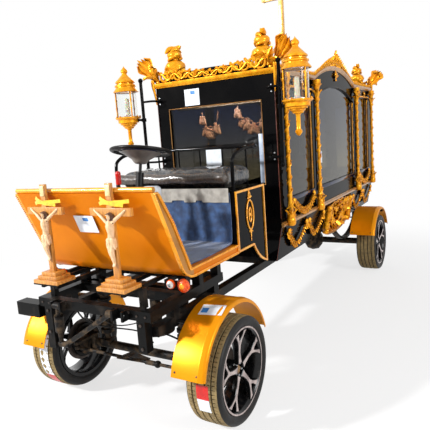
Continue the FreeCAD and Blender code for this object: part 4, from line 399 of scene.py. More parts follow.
def turned(angle, axis):
    """A placing matrix that turns a part about one of the axes, by an angle in radians."""
    return Matrix.Rotation(angle, 4, axis)


def stamp(shape, part, place=Matrix(), slot=None):
    """Add a copy of a part to a shape, placed by a matrix or a point."""
    copy = part.copy()
    if slot is not None:
        copy.polygons.foreach_set("material_index", [slot] * len(copy.polygons))
    matrix = place if isinstance(place, Matrix) else at(place)
    copy.transform(matrix)
    if matrix.determinant() < 0:
        copy.flip_normals()
    shape.from_mesh(copy)
    bpy.data.meshes.remove(copy)


def piece(name, shape, finishes, body="chassis", instead=(), crease=38):
    """Turn a shape drawn in millimetres from the front axle into a piece of the vehicle."""
    bmesh.ops.transform(shape, matrix=from_axle, verts=shape.verts)
    thing = as_object(shape, name)
    for finish in finishes:
        thing.data.materials.append(finish)
    thing.data.shade_smooth()
    thing.data.set_sharp_from_angle(angle=math.radians(crease))
    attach(thing, body)
    if instead:
        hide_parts(*instead)
    return thing


def angles(count, turns=1):
    """Evenly spaced angles from 0 to the end of a number of turns."""
    return [full_turn * turns * index / count for index in range(count + 1)]


def outward(angle, radius=1.0, height=0.0):
    """A point beside the upright axis, in the direction of an angle."""
    return Vector((radius * math.cos(angle), radius * math.sin(angle), height))


def softened(points, rounds=2):
    """Cut the corners of a row of points, so that it turns into a soft curve with the same ends."""
    points = [Vector(point) for point in points]
    for _ in range(rounds):
        cut = [points[0]]
        for first, second in zip(points, points[1:]):
            cut += [first.lerp(second, 0.25), first.lerp(second, 0.75)]
        points = cut + [points[-1]]
    return points


def drawn_line(shape, points, closed=True):
    """Draw a line into a shape. Returns its points and edges."""
    ring = [shape.verts.new(point) for point in points]
    return ring, [shape.edges.new(pair) for pair in zip(ring, ring[1:] + (ring[:1] if closed else []))]


def spun(shape, points, steps, axis=up_axis, closed=True):
    """Turn a line right round an axis through the origin."""
    ring, edges = drawn_line(shape, points, closed)
    bmesh.ops.spin(shape, geom=ring + edges, cent=(0, 0, 0), axis=axis, angle=full_turn, steps=steps,
                   use_merge=True)


def lathe(profile, steps=32):
    """A closed shape turned about the upright axis, from (radius, height) points."""
    shape = bmesh.new()
    spun(shape, [(point[0], 0, point[1]) for point in profile], steps, closed=False)
    return as_mesh(shape)


def rounded(shape, edges, width, segments=2):
    """Round edges of a shape with a bevel."""
    bmesh.ops.bevel(shape, geom=edges, offset=width, offset_type="OFFSET", affect="EDGES", segments=segments,
                    profile=0.5, material=-1)


def box_part(size, edge=0.0, segments=2):
    """A box about the origin, with its edges rounded by a bevel."""
    shape = bmesh.new()
    bmesh.ops.create_cube(shape, size=1)
    bmesh.ops.scale(shape, vec=size, verts=shape.verts)
    if edge:
        rounded(shape, shape.edges[:], edge, segments)
    return as_mesh(shape)


def ball_part(radius, stretch=(1, 1, 1), detail=2):
    """A ball, which may be stretched to an egg or a lens."""
    shape = bmesh.new()
    bmesh.ops.create_icosphere(shape, subdivisions=detail, radius=radius)
    bmesh.ops.scale(shape, vec=stretch, verts=shape.verts)
    return as_mesh(shape)


def rod_part(radius, length, edge=0.0, sides=16):
    """A round bar that stands on the origin, with its ends eased."""
    ease = edge or min(radius * 0.15, 1.5)
    return lathe([(0, 0), (radius - ease, 0), (radius, ease), (radius, length - ease),
                  (radius - ease, length),
                  (0, length)], sides)


def plate(shape, outline, thick):
    """Draw a flat plate into a shape, cut to an outline in the XZ plane, from y = 0 to its thickness."""
    face = shape.faces.new([shape.verts.new((across, 0, up)) for across, up in outline])
    made = bmesh.ops.extrude_face_region(shape, geom=[face])["geom"]
    bmesh.ops.translate(shape, vec=(0, thick, 0),
                        verts=[item for item in made if isinstance(item, bmesh.types.BMVert)])


def tubes(runs, radius, sides=3, smooth=True):
    """Round bars along smooth lines; each run is a list of points, with shares of the radius or not."""
    data = bpy.data.curves.new("route", "CURVE")
    data.dimensions = "3D"
    data.bevel_depth = radius
    data.bevel_resolution = sides
    data.use_fill_caps = True
    data.resolution_u = 3
    for points, shares in runs:
        spline = data.splines.new("NURBS" if smooth else "POLY")
        spline.points.add(len(points) - 1)
        for index, (point, share) in enumerate(zip(points, shares or [1] * len(points))):
            spline.points[index].co = (*point, 1)
            spline.points[index].radius = share
        if smooth:
            spline.order_u = 3
            spline.use_endpoint_u = True
    holder = bpy.data.objects.new("route", data)
    mesh = bpy.data.meshes.new_from_object(holder)
    bpy.data.objects.remove(holder)
    bpy.data.curves.remove(data)
    shape = bmesh.new()
    shape.from_mesh(mesh)
    bpy.data.meshes.remove(mesh)
    return as_mesh(shape)


def swept(section, stations):
    """Carry a closed section, drawn across (Y) and up (Z), through a row of placing matrices."""
    shape = bmesh.new()
    first = drawn_line(shape, [stations[0] @ Vector((0, across, up)) for across, up in section])[1]
    edges = first
    for before, after in zip(stations, stations[1:]):
        made = bmesh.ops.extrude_edge_only(shape, edges=edges)["geom"]
        verts = [item for item in made if isinstance(item, bmesh.types.BMVert)]
        edges = [item for item in made if isinstance(item, bmesh.types.BMEdge)]
        bmesh.ops.transform(shape, matrix=after @ before.inverted(), verts=verts)
    for end in (first, edges):
        bmesh.ops.contextual_create(shape, geom=end)
    return as_mesh(shape)


def stations_along(points, outward_axis):
    """Placing matrices along a row of points: X follows the line, Y points outward, Z is left."""
    places = []
    for before, point, after in zip(points[:1] + points, points, points[1:] + points[-1:]):
        ahead = (after - before).normalized()
        out = (outward_axis - ahead * outward_axis.dot(ahead)).normalized()
        places.append(Matrix((ahead, out, ahead.cross(out))).transposed().to_4x4())
        places[-1].translation = point
    return places


def aimed(point, ahead, lift=up_axis, size=1.0):
    """A placing matrix whose Z points ahead and whose X leans towards lift."""
    ahead = ahead.normalized()
    side = lift - ahead * lift.dot(ahead)
    side = side.normalized() if side.length > 1e-6 else ahead.orthogonal().normalized()
    turn = Matrix((side, ahead.cross(side), ahead)).transposed().to_4x4()
    return at(point) @ turn @ Matrix.Scale(size, 4)


def leaf_part(length, width, curl, thick, lobes=2, rows=5, columns=4, cup=0.25, fan=False):
    """An acanthus leaf that grows up from the origin and curls towards +X, with lobed edges."""
    shape = bmesh.new()
    bmesh.ops.create_grid(shape, x_segments=columns, y_segments=rows, size=0.5)
    spine, headings = [Vector((0, 0, 0))], []
    for row in range(rows + 1):
        heading = curl * (row / rows) ** 1.6
        headings.append(heading)
        spine.append(spine[-1] + length / rows * Vector((math.sin(heading), 0, math.cos(heading))))
    for vertex in shape.verts:
        side, share = vertex.co.x * 2, vertex.co.y + 0.5
        row = min(rows, round(share * rows))
        turn = headings[row]
        swell = math.sin(math.pi * min(1, 0.12 + share * 0.88)) ** 0.7
        ripple = 0.35 * thick * math.cos(math.pi * 2 * lobes * share) * abs(side)
        if fan:
            tip = math.sqrt(1 - max(0, (share - 0.72) / 0.4) ** 2)
            swell = (0.16 + 0.84 * min(1, share / 0.72) ** 1.8) * tip
            ripple = 0.9 * thick * math.cos(math.pi * 4 * side) * share
        lobe = 1 - 0.28 * abs(math.cos(math.pi * lobes * share)) * abs(side)
        half = width / 2 * swell * lobe + 0.6
        rib = 1.2 * thick * math.exp(-(side * 3.2) ** 2) - cup * width / 2 * side * side * swell
        normal = Vector((math.cos(turn), 0, -math.sin(turn)))
        vertex.co = spine[row] + Vector((0, side * half, 0)) + normal * (rib + ripple)
        if fan:
            heading = Vector((math.sin(turn), 0, math.cos(turn)))
            point = abs(math.cos(math.pi * 2 * side)) - abs(side)
            vertex.co += heading * 0.13 * length * share ** 4 * point
    bmesh.ops.recalc_face_normals(shape, faces=shape.faces)
    bmesh.ops.solidify(shape, geom=shape.faces[:], thickness=thick)
    return as_mesh(shape)


def scroll_part(size, thick, turns=1.35):
    """A C-scroll: a tapering bar wound in a flat spiral to a round eye."""
    line, steps = [], 16
    for index in range(steps + 1):
        share = index / steps
        radius, angle = size * (1 - share * 0.88), turns * full_turn * share
        line.append(Vector((radius * math.cos(angle), 0, radius * math.sin(angle))))
    shares = [0.45 + 0.55 * math.sin(math.pi * min(1, 0.15 + index / len(line)))
              for index in range(len(line))]
    shape = bmesh.new()
    shape.from_mesh(tubes([(line, shares)], thick, 2))
    stamp(shape, ball_part(thick * 1.1), line[-1])
    return as_mesh(shape)


# Running gear

def wheel_centre(word):
    """A placing matrix at the middle of a wheel, with Y pointing out of the vehicle."""
    x, y = wheel_places[word]
    return at(x, y, wheel_radius) @ (Matrix.Identity(4) if y > 0 else turned(math.pi, "Z"))


def tyre_shape():
    """A road tyre about the Y axis: round shoulders, four grooves round it and sipes across."""
    half_profile = [(82, 215), (84, 229), (90, 236), (95, 244), (97.4, 252), (97.4, 262), (95, 270),
                    (90, 277), (84, 281.5), (76, 284), (62, 285.3)]
    for middle in (54, 19):
        half_profile += [(middle + 5, 285.8), (middle + 3.5, 278.5), (middle - 3.5, 278.5),
                         (middle - 5, 286.2)]
        if middle == 54:
            half_profile += [(36, 286.3)]
    half_profile += [(0, 286.8)]
    profile = half_profile + [(-across, radius) for across, radius in reversed(half_profile[:-1])]
    profile += [(-70, 214), (70, 214)]
    shape = bmesh.new()
    ring, edges = drawn_line(shape, [(radius, across, 0) for across, radius in profile])
    pitches, sipe_share = 80, 0.2
    geom = ring + edges
    for share in (1 - sipe_share, sipe_share) * pitches:
        geom = bmesh.ops.spin(shape, geom=geom, cent=(0, 0, 0), axis=across_axis,
                              angle=full_turn / pitches * share, steps=1)["geom_last"]
    bmesh.ops.remove_doubles(shape, verts=shape.verts, dist=0.01)
    bmesh.ops.recalc_face_normals(shape, faces=shape.faces)
    narrow_width = full_turn / pitches * sipe_share * wheel_radius * 1.2
    sipes = []
    for face in shape.faces:
        middle = face.calc_center_median()
        radius = math.hypot(middle.x, middle.z)
        face.material_index = 1 if radius > 281 else 0
        if radius > 283.5 and abs(middle.y) > 36:
            around = Vector((-middle.z, 0, middle.x)) / radius
            spread = [around.dot(vertex.co) for vertex in face.verts]
            if max(spread) - min(spread) < narrow_width:
                sipes.append(face)
    bmesh.ops.inset_individual(shape, faces=sipes, thickness=0.5, depth=-4.5)
    return shape


def make_tyres():
    """Four tyres; the front pair keep a blank paper band with a red end on the tread."""
    tyre = as_mesh(tyre_shape())
    bands = {"front_left": ((-8, 7, 3), (7, 22, 2)), "front_right": ((-26, 27, 2), (27, 47, 3))}
    section = [(-34, 286.4), (34, 286.4), (34, 286.95), (-34, 286.95)]
    for word, (x, y) in wheel_places.items():
        shape = bmesh.new()
        stamp(shape, tyre, Vector((x, y, wheel_radius)))
        for first, last, slot in bands.get(word, ()):
            turns = [math.radians(90 + first + (last - first) * step / 6) for step in range(7)]
            middle = at(x, y + (6 if y > 0 else 14), wheel_radius)
            stamp(shape, swept(section, [middle @ turned(turn, "Y") for turn in turns]), slot=slot)
        piece("road_tyre_" + word, shape, [side_rubber, tread_rubber, white_film, red_plastic],
              "wheel_" + word, ("tyre_" + word,))


def spoke_part():
    """One spoke: a waisted trunk that parts near the rim into two arms, each with a flared foot."""
    outline = [(-21, 34), (21, 34), (15, 58), (12, 96), (13, 132), (24, 158), (42, 182), (66, 203), (28, 208),
               (22, 192), (10, 170), (0, 160)]
    outline += [(-across, up) for across, up in reversed(outline[2:-1])]
    shape = bmesh.new()
    plate(shape, [(across + 14 * math.sin(up / 66) - 8, up) for across, up in outline], 26)
    bmesh.ops.recalc_face_normals(shape, faces=shape.faces)
    rounded(shape, list({edge for face in shape.faces if face.normal.y > 0.9 for edge in face.edges}), 3.0, 1)
    for face in shape.faces:
        face.material_index = 1 if face.normal.y > 0.95 else 0
    bmesh.ops.triangulate(shape, faces=shape.faces[:])
    bmesh.ops.subdivide_edges(shape, edges=[e for e in shape.edges if e.calc_length() > 40], cuts=1)
    for vertex in shape.verts:
        vertex.co.y += 16 * (vertex.co.z / 208) ** 2
    return as_mesh(shape)


def make_rims():
    """Cast wheels: black barrel, machined lip, five parted spokes, lug bolts and a bronze cap."""
    barrel = [(-89, 209), (-60, 198), (20, 200), (72, 207), (84, 214), (89, 220), (89, 228.3), (82, 228.3),
              (82, 216), (60, 214), (-60, 214), (-82, 216), (-82, 228.3), (-89, 228.3)]
    shape = bmesh.new()
    spun(shape, [(radius, across, 0) for across, radius in barrel], 96, across_axis)
    bmesh.ops.recalc_face_normals(shape, faces=shape.faces)
    for face in shape.faces:
        middle = face.calc_center_median()
        face.material_index = 1 if middle.y > 85 and math.hypot(middle.x, middle.z) > 217 else 0
    drum = as_mesh(shape)
    spoke = spoke_part()
    hub = lathe([(44, -97), (44, 44), (36, 52), (0, 52), (0, -97), (44, -97)], 40)
    cap = lathe(softened([(0, 0), (27, 0), (27, 4), (18, 9), (0, 10)], 1), 4)
    bolt = lathe([(0, 0), (8, 0), (8, 9), (6, 12), (0, 12)], 6)
    face_out = turned(-quarter_turn, "X")
    for word in wheel_places:
        shape = bmesh.new()
        centre = wheel_centre(word)
        stamp(shape, drum, centre)
        stamp(shape, hub, centre @ face_out)
        stamp(shape, cap, centre @ at(0, 52, 0) @ face_out, 2)
        for index in range(5):
            about = centre @ turned(full_turn * index / 5, "Y")
            stamp(shape, spoke, about @ at(0, 44, 0))
            stamp(shape, bolt, about @ turned(math.pi / 5, "Y") @ at(0, 50, 33) @ face_out, 3)
        piece("cast_rim_" + word, shape, [rim_lacquer, rim_machined, bronze_cap, bolt_zinc],
              "wheel_" + word, ("rim_" + word,))


def make_brakes():
    """A dull brake disc inside each wheel and a small pressed dust shield behind it."""
    disc = lathe([(44.5, 0), (128, 0), (128, 12), (84, 12), (80, 22), (44.5, 22), (44.5, 0)], 64)
    shield = lathe([(70, 0), (104, 0), (108, 7), (102, 4), (70, 4), (70, 0)], 64)
    for word in wheel_places:
        carrier = "knuckle_" + word[6:] if word.startswith("front") else "chassis"
        for name, part, inset, finish, body in (("brake_disc_", disc, 52, disc_steel, "wheel_" + word),
                                                ("brake_shield_", shield, 76, frame_paint, carrier)):
            shape = bmesh.new()
            stamp(shape, part, wheel_centre(word) @ at(0, -inset, 0) @ turned(-quarter_turn, "X"))
            piece(name + word, shape, [finish], body)


def make_brake_lines():
    """Thin black hoses and cables looped from the frame to the front axle."""
    shape = bmesh.new()
    hose = [(300, 240, 690), (250, 250, 560), (120, 300, 470), (30, 330, 390), (10, 350, 352)]
    for thick, line in (
            (5, hose), (5, [(x, -y, z) for x, y, z in hose]),
            (4, [(395, -60, 680), (360, -80, 590), (240, -40, 520), (120, 20, 470), (40, 60, 420),
                 (10, 70, 352)]),
            (3, [(395, 40, 690), (380, 80, 600), (250, 130, 560), (130, 160, 560), (90, 175, 600)])):
        stamp(shape, tubes([(line, None)], thick, 3))
    piece("brake_lines", shape, [plastic])


def make_fenders():
    """Pressed fenders with a soft rolled outer edge, stays underneath and bolts at the corners."""
    bolt = lathe(softened([(0, 0), (5.5, 0), (5.5, 2.5), (0, 4)], 1), 12)
    for word, centre_x, first, last, inner, stay_z in (("front", 0, 15, 163, 440, 595),
                                                       ("rear", -3087, 22, 158, 500, 584)):
        outer = reach(word + "_fenders")[1].y
        section = [(inner, 371), (inner, 375)]
        section += [(outer - inset, radius) for inset, radius in (
            (44, 375), (38, 377.4), (32, 377.6), (26, 375.6), (16, 374), (8, 371.6), (2.5, 367), (0.2, 359),
            (0.5, 352), (4, 352), (7, 362), (13, 368), (24, 370.4))]
        along = math.sqrt(363.5 ** 2 - (stay_z - wheel_radius) ** 2)
        centre = at(centre_x, 0, wheel_radius)
        places = []
        angle = first
        while angle <= last + 0.01:
            places.append(centre @ turned(math.radians(90 - angle), "Y"))
            angle += (last - first) / round((last - first) / 4)
        shape = bmesh.new()
        stay = rod_part(7, outer - 26 - 382)
        for mirror in mirrors:
            stamp(shape, swept(section, places), mirror)
            for sign in (1, -1):
                place = at(centre_x + sign * along, 382, stay_z)
                stamp(shape, stay, mirror @ place @ turned(-quarter_turn, "X"), 1)
            for turn in (first + 4, last - 4):
                for across in (inner + 20, outer - 40):
                    place = centre @ turned(math.radians(90 - turn), "Y") @ at(0, across, 374.4)
                    stamp(shape, bolt, mirror @ place, 2)
        if word == "front":
            about = at(0, 548, wheel_radius) @ turned(math.radians(17), "Y") @ turned(0.12, "Z")
            stamp(shape, box_part((82, 128, 0.8)), about @ at(0, 0, 375.0), 3)
            stamp(shape, box_part((38, 36, 0.9)), about @ at(6, -38, 375.3), 4)
        piece("pressed_fenders_" + word, shape,
              [fender_gold, frame_paint, disc_steel, white_film, blue_film], instead=(word + "_fenders",))


# Body ornament

def column_part():
    """One gilt column: a slim turned shaft wound with a leafy ribbon, a trumpet foot and a leafy capital."""
    low, high = belt_top, cornice_low
    profile = [(0, low - 36), (25, low - 35), (32, low - 26), (34, low - 8), (34, low + 12), (29, low + 20),
               (32, low + 30), (27, low + 48), (21, low + 92), (16, low + 150), (13.5, low + 280),
               (13.5, high - 176), (17, high - 166), (23, high - 158), (25, high - 148), (17, high - 140),
               (15, high - 112), (22, high - 70), (31, high - 34), (33.5, high - 20), (33.5, high), (0, high)]
    shape = bmesh.new()
    shape.from_mesh(lathe(profile, 24))

    def radius_at(height):
        for (before, start), (after, finish) in zip(profile[1:], profile[2:]):
            if start <= height <= finish:
                return before + (after - before) * (height - start) / max(1e-6, finish - start)
        return 14

    start, finish, turns, steps = low + 34, high - 168, 9, 120
    vine = []
    for index in range(steps + 1):
        share = index / steps
        height = start + (finish - start) * share
        vine.append(outward(turns * full_turn * share, radius_at(height) + 1.5, height))
    shape.from_mesh(tubes([(vine, None)], 6.2, 2))
    leaf = leaf_part(32, 18, 1.3, 2.5)
    chance = random.Random(7)
    for index in range(5, steps - 2, 10):
        angle = turns * full_turn * index / steps
        out = outward(angle)
        around = Vector((-math.sin(angle), math.cos(angle), 0))
        climb = 1 if index % 20 == 5 else -1
        ahead = around * 0.55 * climb + up_axis + out * 0.1
        stamp(shape, leaf, aimed(vine[index] - out * 3, ahead, out, chance.uniform(0.75, 1.05)))
    frill = leaf_part(60, 30, 1.1, 3, lobes=3, rows=7)
    for level, size, tip, width in ((low + 26, 1.1, 1, 22), (high - 140, 1.15, 1, 14),
                                    (high - 84, 1.0, 1, 16),
                                    (low + 128, 0.8, -1, 15)):
        for index in range(6):
            out = outward(full_turn * (index + level * 0.01) / 6)
            stamp(shape, frill, aimed(out * width + up_axis * level, up_axis * tip + out * 0.15, out, size))
    return as_mesh(shape)


def make_columns():
    """Eight columns, four down each side, flattened where they stand against the wall."""
    shape = bmesh.new()
    column = column_part()
    for x in column_x:
        for side in (1, -1):
            stamp(shape, column, at(x, side * column_y, 0) @ turned(x * 0.01, "Z"))
    for vertex in shape.verts:
        if abs(vertex.co.y) < body_half + 0.5:
            vertex.co.y = math.copysign(body_half + 0.5, vertex.co.y)
    piece("leafy_columns", shape, [gold_leaf], instead=("columns",))


def arch_height(x):
    """How far the arch lifts the cornice at a place along the body."""
    off = abs(x - body_middle)
    if off >= arch_half:
        return 0.0
    return math.sqrt(arch_radius ** 2 - off ** 2) - (arch_radius - arch_rise)


def cornice_line(y, lift=0.0):
    """Points along a side's cornice, over the arch, from rear to front."""
    places = [body_rear, body_middle - arch_half]
    places += [body_middle - arch_half + arch_half * 2 * index / 24 for index in range(1, 24)]
    places += [body_middle + arch_half, body_front]
    return [Vector((x, y, cornice_low + lift + arch_height(x))) for x in places]


def bead_row(shape, points, size, gap):
    """Small round beads along a row of points."""
    bead = ball_part(size, detail=1)
    for first, second in zip(points, points[1:]):
        count = max(1, round((second - first).length / gap))
        for index in range(count):
            stamp(shape, bead, first.lerp(second, (index + 0.5) / count))


def window_outline(centre, half, low, top, rise=0.0):
    """Corner points of a window in the XZ plane, its head arched by a rise, closed."""
    points = [Vector((centre - half, 0, low)), Vector((centre + half, 0, low)),
              Vector((centre + half, 0, top))]
    if rise:
        radius = (half ** 2 + rise ** 2) / (2 * rise)
        for index in range(1, 16):
            x = half - 2 * half * index / 16
            points.append(Vector((centre + x, 0, top + math.sqrt(radius ** 2 - x ** 2) - radius + rise)))
    points.append(Vector((centre - half, 0, top)))
    return points


def make_mouldings():
    """Belt strip, cornice over the arches, window rims, beaded jambs and the corner lines."""
    shape = bmesh.new()
    tip = leaf_part(44, 22, 0.5, 3)
    for mirror in mirrors:
        belt = [at(x, body_half, belt_low) for x in (body_rear, body_front)]
        stamp(shape, swept(belt_section, belt), mirror, 1)
        line = cornice_line(body_half)
        stamp(shape, swept(cornice_section, [at(point) for point in line]), mirror, 1)
        lip = [point + Vector((0, 18.5, 31)) for point in line]
        stamp(shape, tubes([(lip, None)], 3.4, 2, False), mirror)
        windows = [(body_middle, middle_half, middle_spring, middle_rise)]
        windows += [(centre, small_half, small_top, 0) for centre in small_middle]
        for centre, half, top, rise in windows:
            ring = []
            for point in window_outline(centre, half, sill_z, top, rise):
                away = math.copysign(7, point.x - centre)
                ring.append(point + Vector((away, body_half + 1, 7 if point.z > 1500 else -7)))
            stamp(shape, tubes([(ring + ring[:1], None)], 5.5, 2, False), mirror, 3)
            # The sill board takes the blue-black enamel: a painted blue reflection
            sill = mirror @ Vector((centre, body_half + 1, sill_z - 13))
            stamp(shape, box_part((2 * half + 24, 16, 30), 4), sill, 4)
            for hand in (1, -1):
                x = centre + hand * (half - 6)
                jamb = mirror @ Vector((x, body_half - 6, (top + sill_z) / 2))
                stamp(shape, box_part((10, 8, top - sill_z), 2), jamb, 1)
                ends = [mirror @ Vector((x, body_half - 1, level)) for level in (sill_z + 8, top - 40)]
                bead_row(shape, ends, 4.2, 12)
                stamp(shape, tip, mirror @ aimed(Vector((x, body_half - 2, top - 48)), up_axis, across_axis))
    for front, x in ((1, body_front), (-1, body_rear)):
        turn = at(x, 0, cornice_low) @ turned(-front * quarter_turn, "Z")
        width = body_half + strip_out
        stamp(shape, swept(cornice_section, [turn @ at(across, 0, 0) for across in (-width, width)]))
    half, low_z, top_z = front_window
    corners = ((-half, low_z), (half, low_z), (half, top_z), (-half, top_z))
    rim = [(body_front + 0.5, *corner) for corner in corners]
    stamp(shape, tubes([(rim + rim[:1], None)], 3.4, 1, False), slot=1)
    line = box_part((3.6, 3.6, eave - belt_top - 60), 1)
    foot = box_part((3.6, 3.6, belt_low - skirt_low), 1)
    for side in (1, -1):
        stamp(shape, line, Vector((body_front + 1, side * (body_half - 1), (eave + belt_top) / 2)), 2)
        place = at(body_front + 1, side * (body_half - skirt_tuck / 2 - 1), (belt_low + skirt_low) / 2)
        stamp(shape, foot, place @ turned(-side * skirt_lean, "X"), 2)
    piece("gilt_mouldings", shape, [gold_leaf, bronze_strip, rust_edge, black_enamel, blue_reflection_enamel],
          instead=("mouldings",))


def vine_part(length, low, high, count):
    """A running vine that swells along +X: a waved stem with a round scroll in each of its bends."""
    shape = bmesh.new()
    stem, shares = [], []
    steps = count * 8
    for index in range(steps + 1):
        share = index / steps
        size = low + (high - low) * share
        wave = math.sin(math.pi * count * share - quarter_turn)
        stem.append(Vector((length * share, 0, size * (0.42 + 0.24 * wave))))
        shares.append(0.45 + 0.55 * share)
    shape.from_mesh(tubes([(stem, shares)], high * 0.1, 3))
    chance = random.Random(count)
    for index in range(count):
        share = (index + 0.5) / count
        size = low + (high - low) * share
        top = index % 2
        place = at(length * share, 5, size * (0.5 if top else 0.46))
        turn = Matrix.Diagonal((1, 1, 1 if top else -1, 1)) @ turned(1.2 + chance.uniform(-0.3, 0.3), "Y")
        stamp(shape, scroll_part(size * 0.5, size * 0.12, 1.5), place @ turn)
        stamp(shape, ball_part(size * 0.13), place)
        leaf = leaf_part(size * 0.52, size * 0.34, 0.9, size * 0.07, rows=6)
        for lean, away in ((-0.75, -0.3), (0.9, 0.34)):
            spot = place @ at(size * away, -3, size * 0.16)
            stamp(shape, leaf, spot @ turned(lean, "Y") @ turned(quarter_turn, "Z"))
    return as_mesh(shape)


def make_cresting():
    """Running vines along each end's cornice and a pile of leaves that peaks over each side's arch."""
    shape = bmesh.new()
    vine = vine_part(body_half - 66, 54, 98, 7)
    for x in (body_front + 11, body_rear - 11):
        for side in (1, -1):
            turn = at(x, 0, cornice_top) @ turned(quarter_turn, "Z")
            stamp(shape, vine, turn @ Matrix.Diagonal((side, 1, 1, 1)))
    chance = random.Random(21)
    y = body_half + 11
    tip = leaf_part(60, 30, 0.6, 4)
    winding = [Vector((math.cos(turn), 0, math.sin(turn))) * (5 + 1.6 * turn) for turn in range(7)]
    curl = tubes([(winding, None)], 4, 1)
    crown_leaves = [(lean, leaf_part(tall, tall * 0.34, 0.2, 7, rows=10, columns=6))
                    for lean, tall in ((0, 146), (-0.4, 118), (0.4, 118), (-0.8, 92), (0.8, 92))]
    for mirror in mirrors:
        for hand in (1, -1):
            distance = 0.0
            while distance < body_front - 60 - body_middle:
                angle = distance / arch_radius
                over = distance < arch_half * 1.02
                tall = 34 + (84 * max(0, 1 - distance / (arch_half * 0.75)) ** 1.2 if over else 0)
                x = arch_radius * math.sin(angle) if over else distance
                up = cornice_top + arch_height(body_middle + min(x, arch_half))
                base = at(body_middle + hand * x, y, up - 2) @ turned(hand * (angle if over else 0), "Y")
                for share, lean in ((0.75, -0.55), (1.0, 0.0), (0.75, 0.55)):
                    turn = base @ turned(lean + chance.uniform(-0.15, 0.15), "Y")
                    size = tall * share / 60
                    flat = turned(quarter_turn, "Z") @ Matrix.Diagonal((size, size * 0.8, size, 1))
                    stamp(shape, tip, mirror @ turn @ flat)
                scroll = base @ at(0, 6, tall * 0.4) @ turned(chance.uniform(0, 6), "Y")
                stamp(shape, curl, mirror @ scroll @ Matrix.Scale(0.7 + tall / 120, 4))
                distance += 19 + tall * 0.26
        crown = at(body_middle, y, cornice_top + arch_rise)
        for lean, leaf in crown_leaves:
            stamp(shape, leaf, mirror @ crown @ (turned(lean, "Y") @ turned(quarter_turn, "Z")))
        line = [point for point in cornice_line(y, strip_tall + 2)
                if abs(point.x - body_middle) <= arch_half + 1]
        stamp(shape, tubes([(line, None)], 6, 3, False), mirror)
    piece("scroll_cresting", shape, [gold_leaf], instead=("cresting",))


def make_corner_leaves():
    """Broad acanthus fans that lean out over each corner, above a stem that runs down the corner."""
    shape = bmesh.new()
    fan = leaf_part(224, 160, 0.5, 9, rows=20, columns=16, lobes=3, cup=0.08, fan=True)
    low_leaf = leaf_part(150, 84, 1.7, 7, lobes=3, rows=12, columns=6)
    for front, x in ((1, body_front - 20), (-1, body_rear + 20)):
        for side in (1, -1):
            centre = Vector((x, side * (body_half - 20), cornice_top - 4))
            across = turned(-side * 0.62, "X") @ turned(0 if front > 0 else math.pi, "Z")
            stamp(shape, fan, at(centre + Vector((front * 8, 0, 0))) @ across)
            along = turned(front * 0.5, "Y") @ turned(side * quarter_turn, "Z")
            stamp(shape, fan, at(centre) @ along @ Matrix.Scale(0.66, 4))
            out = turned(math.atan2(side, front), "Z") @ turned(0.7, "Y")
            stamp(shape, low_leaf, at(centre) @ out)
            stamp(shape, ball_part(30, (1, 1, 0.8)), centre + Vector((0, 0, 12)))
            corner = Vector((body_front if front > 0 else body_rear, side * body_half, 0))
            out = Vector((front, side, 0)) * 0.7
            stem = [corner + out * away + up_axis * level for away, level in (
                (22, cornice_top + 30), (26, cornice_top - 10), (12, cornice_low - 30),
                (5, cornice_low - 120))]
            stamp(shape, tubes([(stem, [1.3, 1.2, 0.9, 0.35])], 11, 3))
    low, high = reach("corner_leaves")
    for vertex in shape.verts:
        off_x = max(body_rear - vertex.co.x, vertex.co.x - body_front)
        off_y = abs(vertex.co.y) - body_half
        if max(off_x, off_y) < strip_out and cornice_low < vertex.co.z < cornice_top + 0.5:
            vertex.co.z = cornice_top + 0.5
        for limit, edge, way in ((high.x, body_front + 45, 1), (low.x - 8, body_rear - 45, -1)):
            room, past = (limit - edge) * way, (vertex.co.x - edge) * way
            if past > 0:
                vertex.co.x = edge + way * room * (1 - math.exp(-past / room))
    piece("corner_acanthus", shape, [gold_leaf], instead=("corner_leaves",))


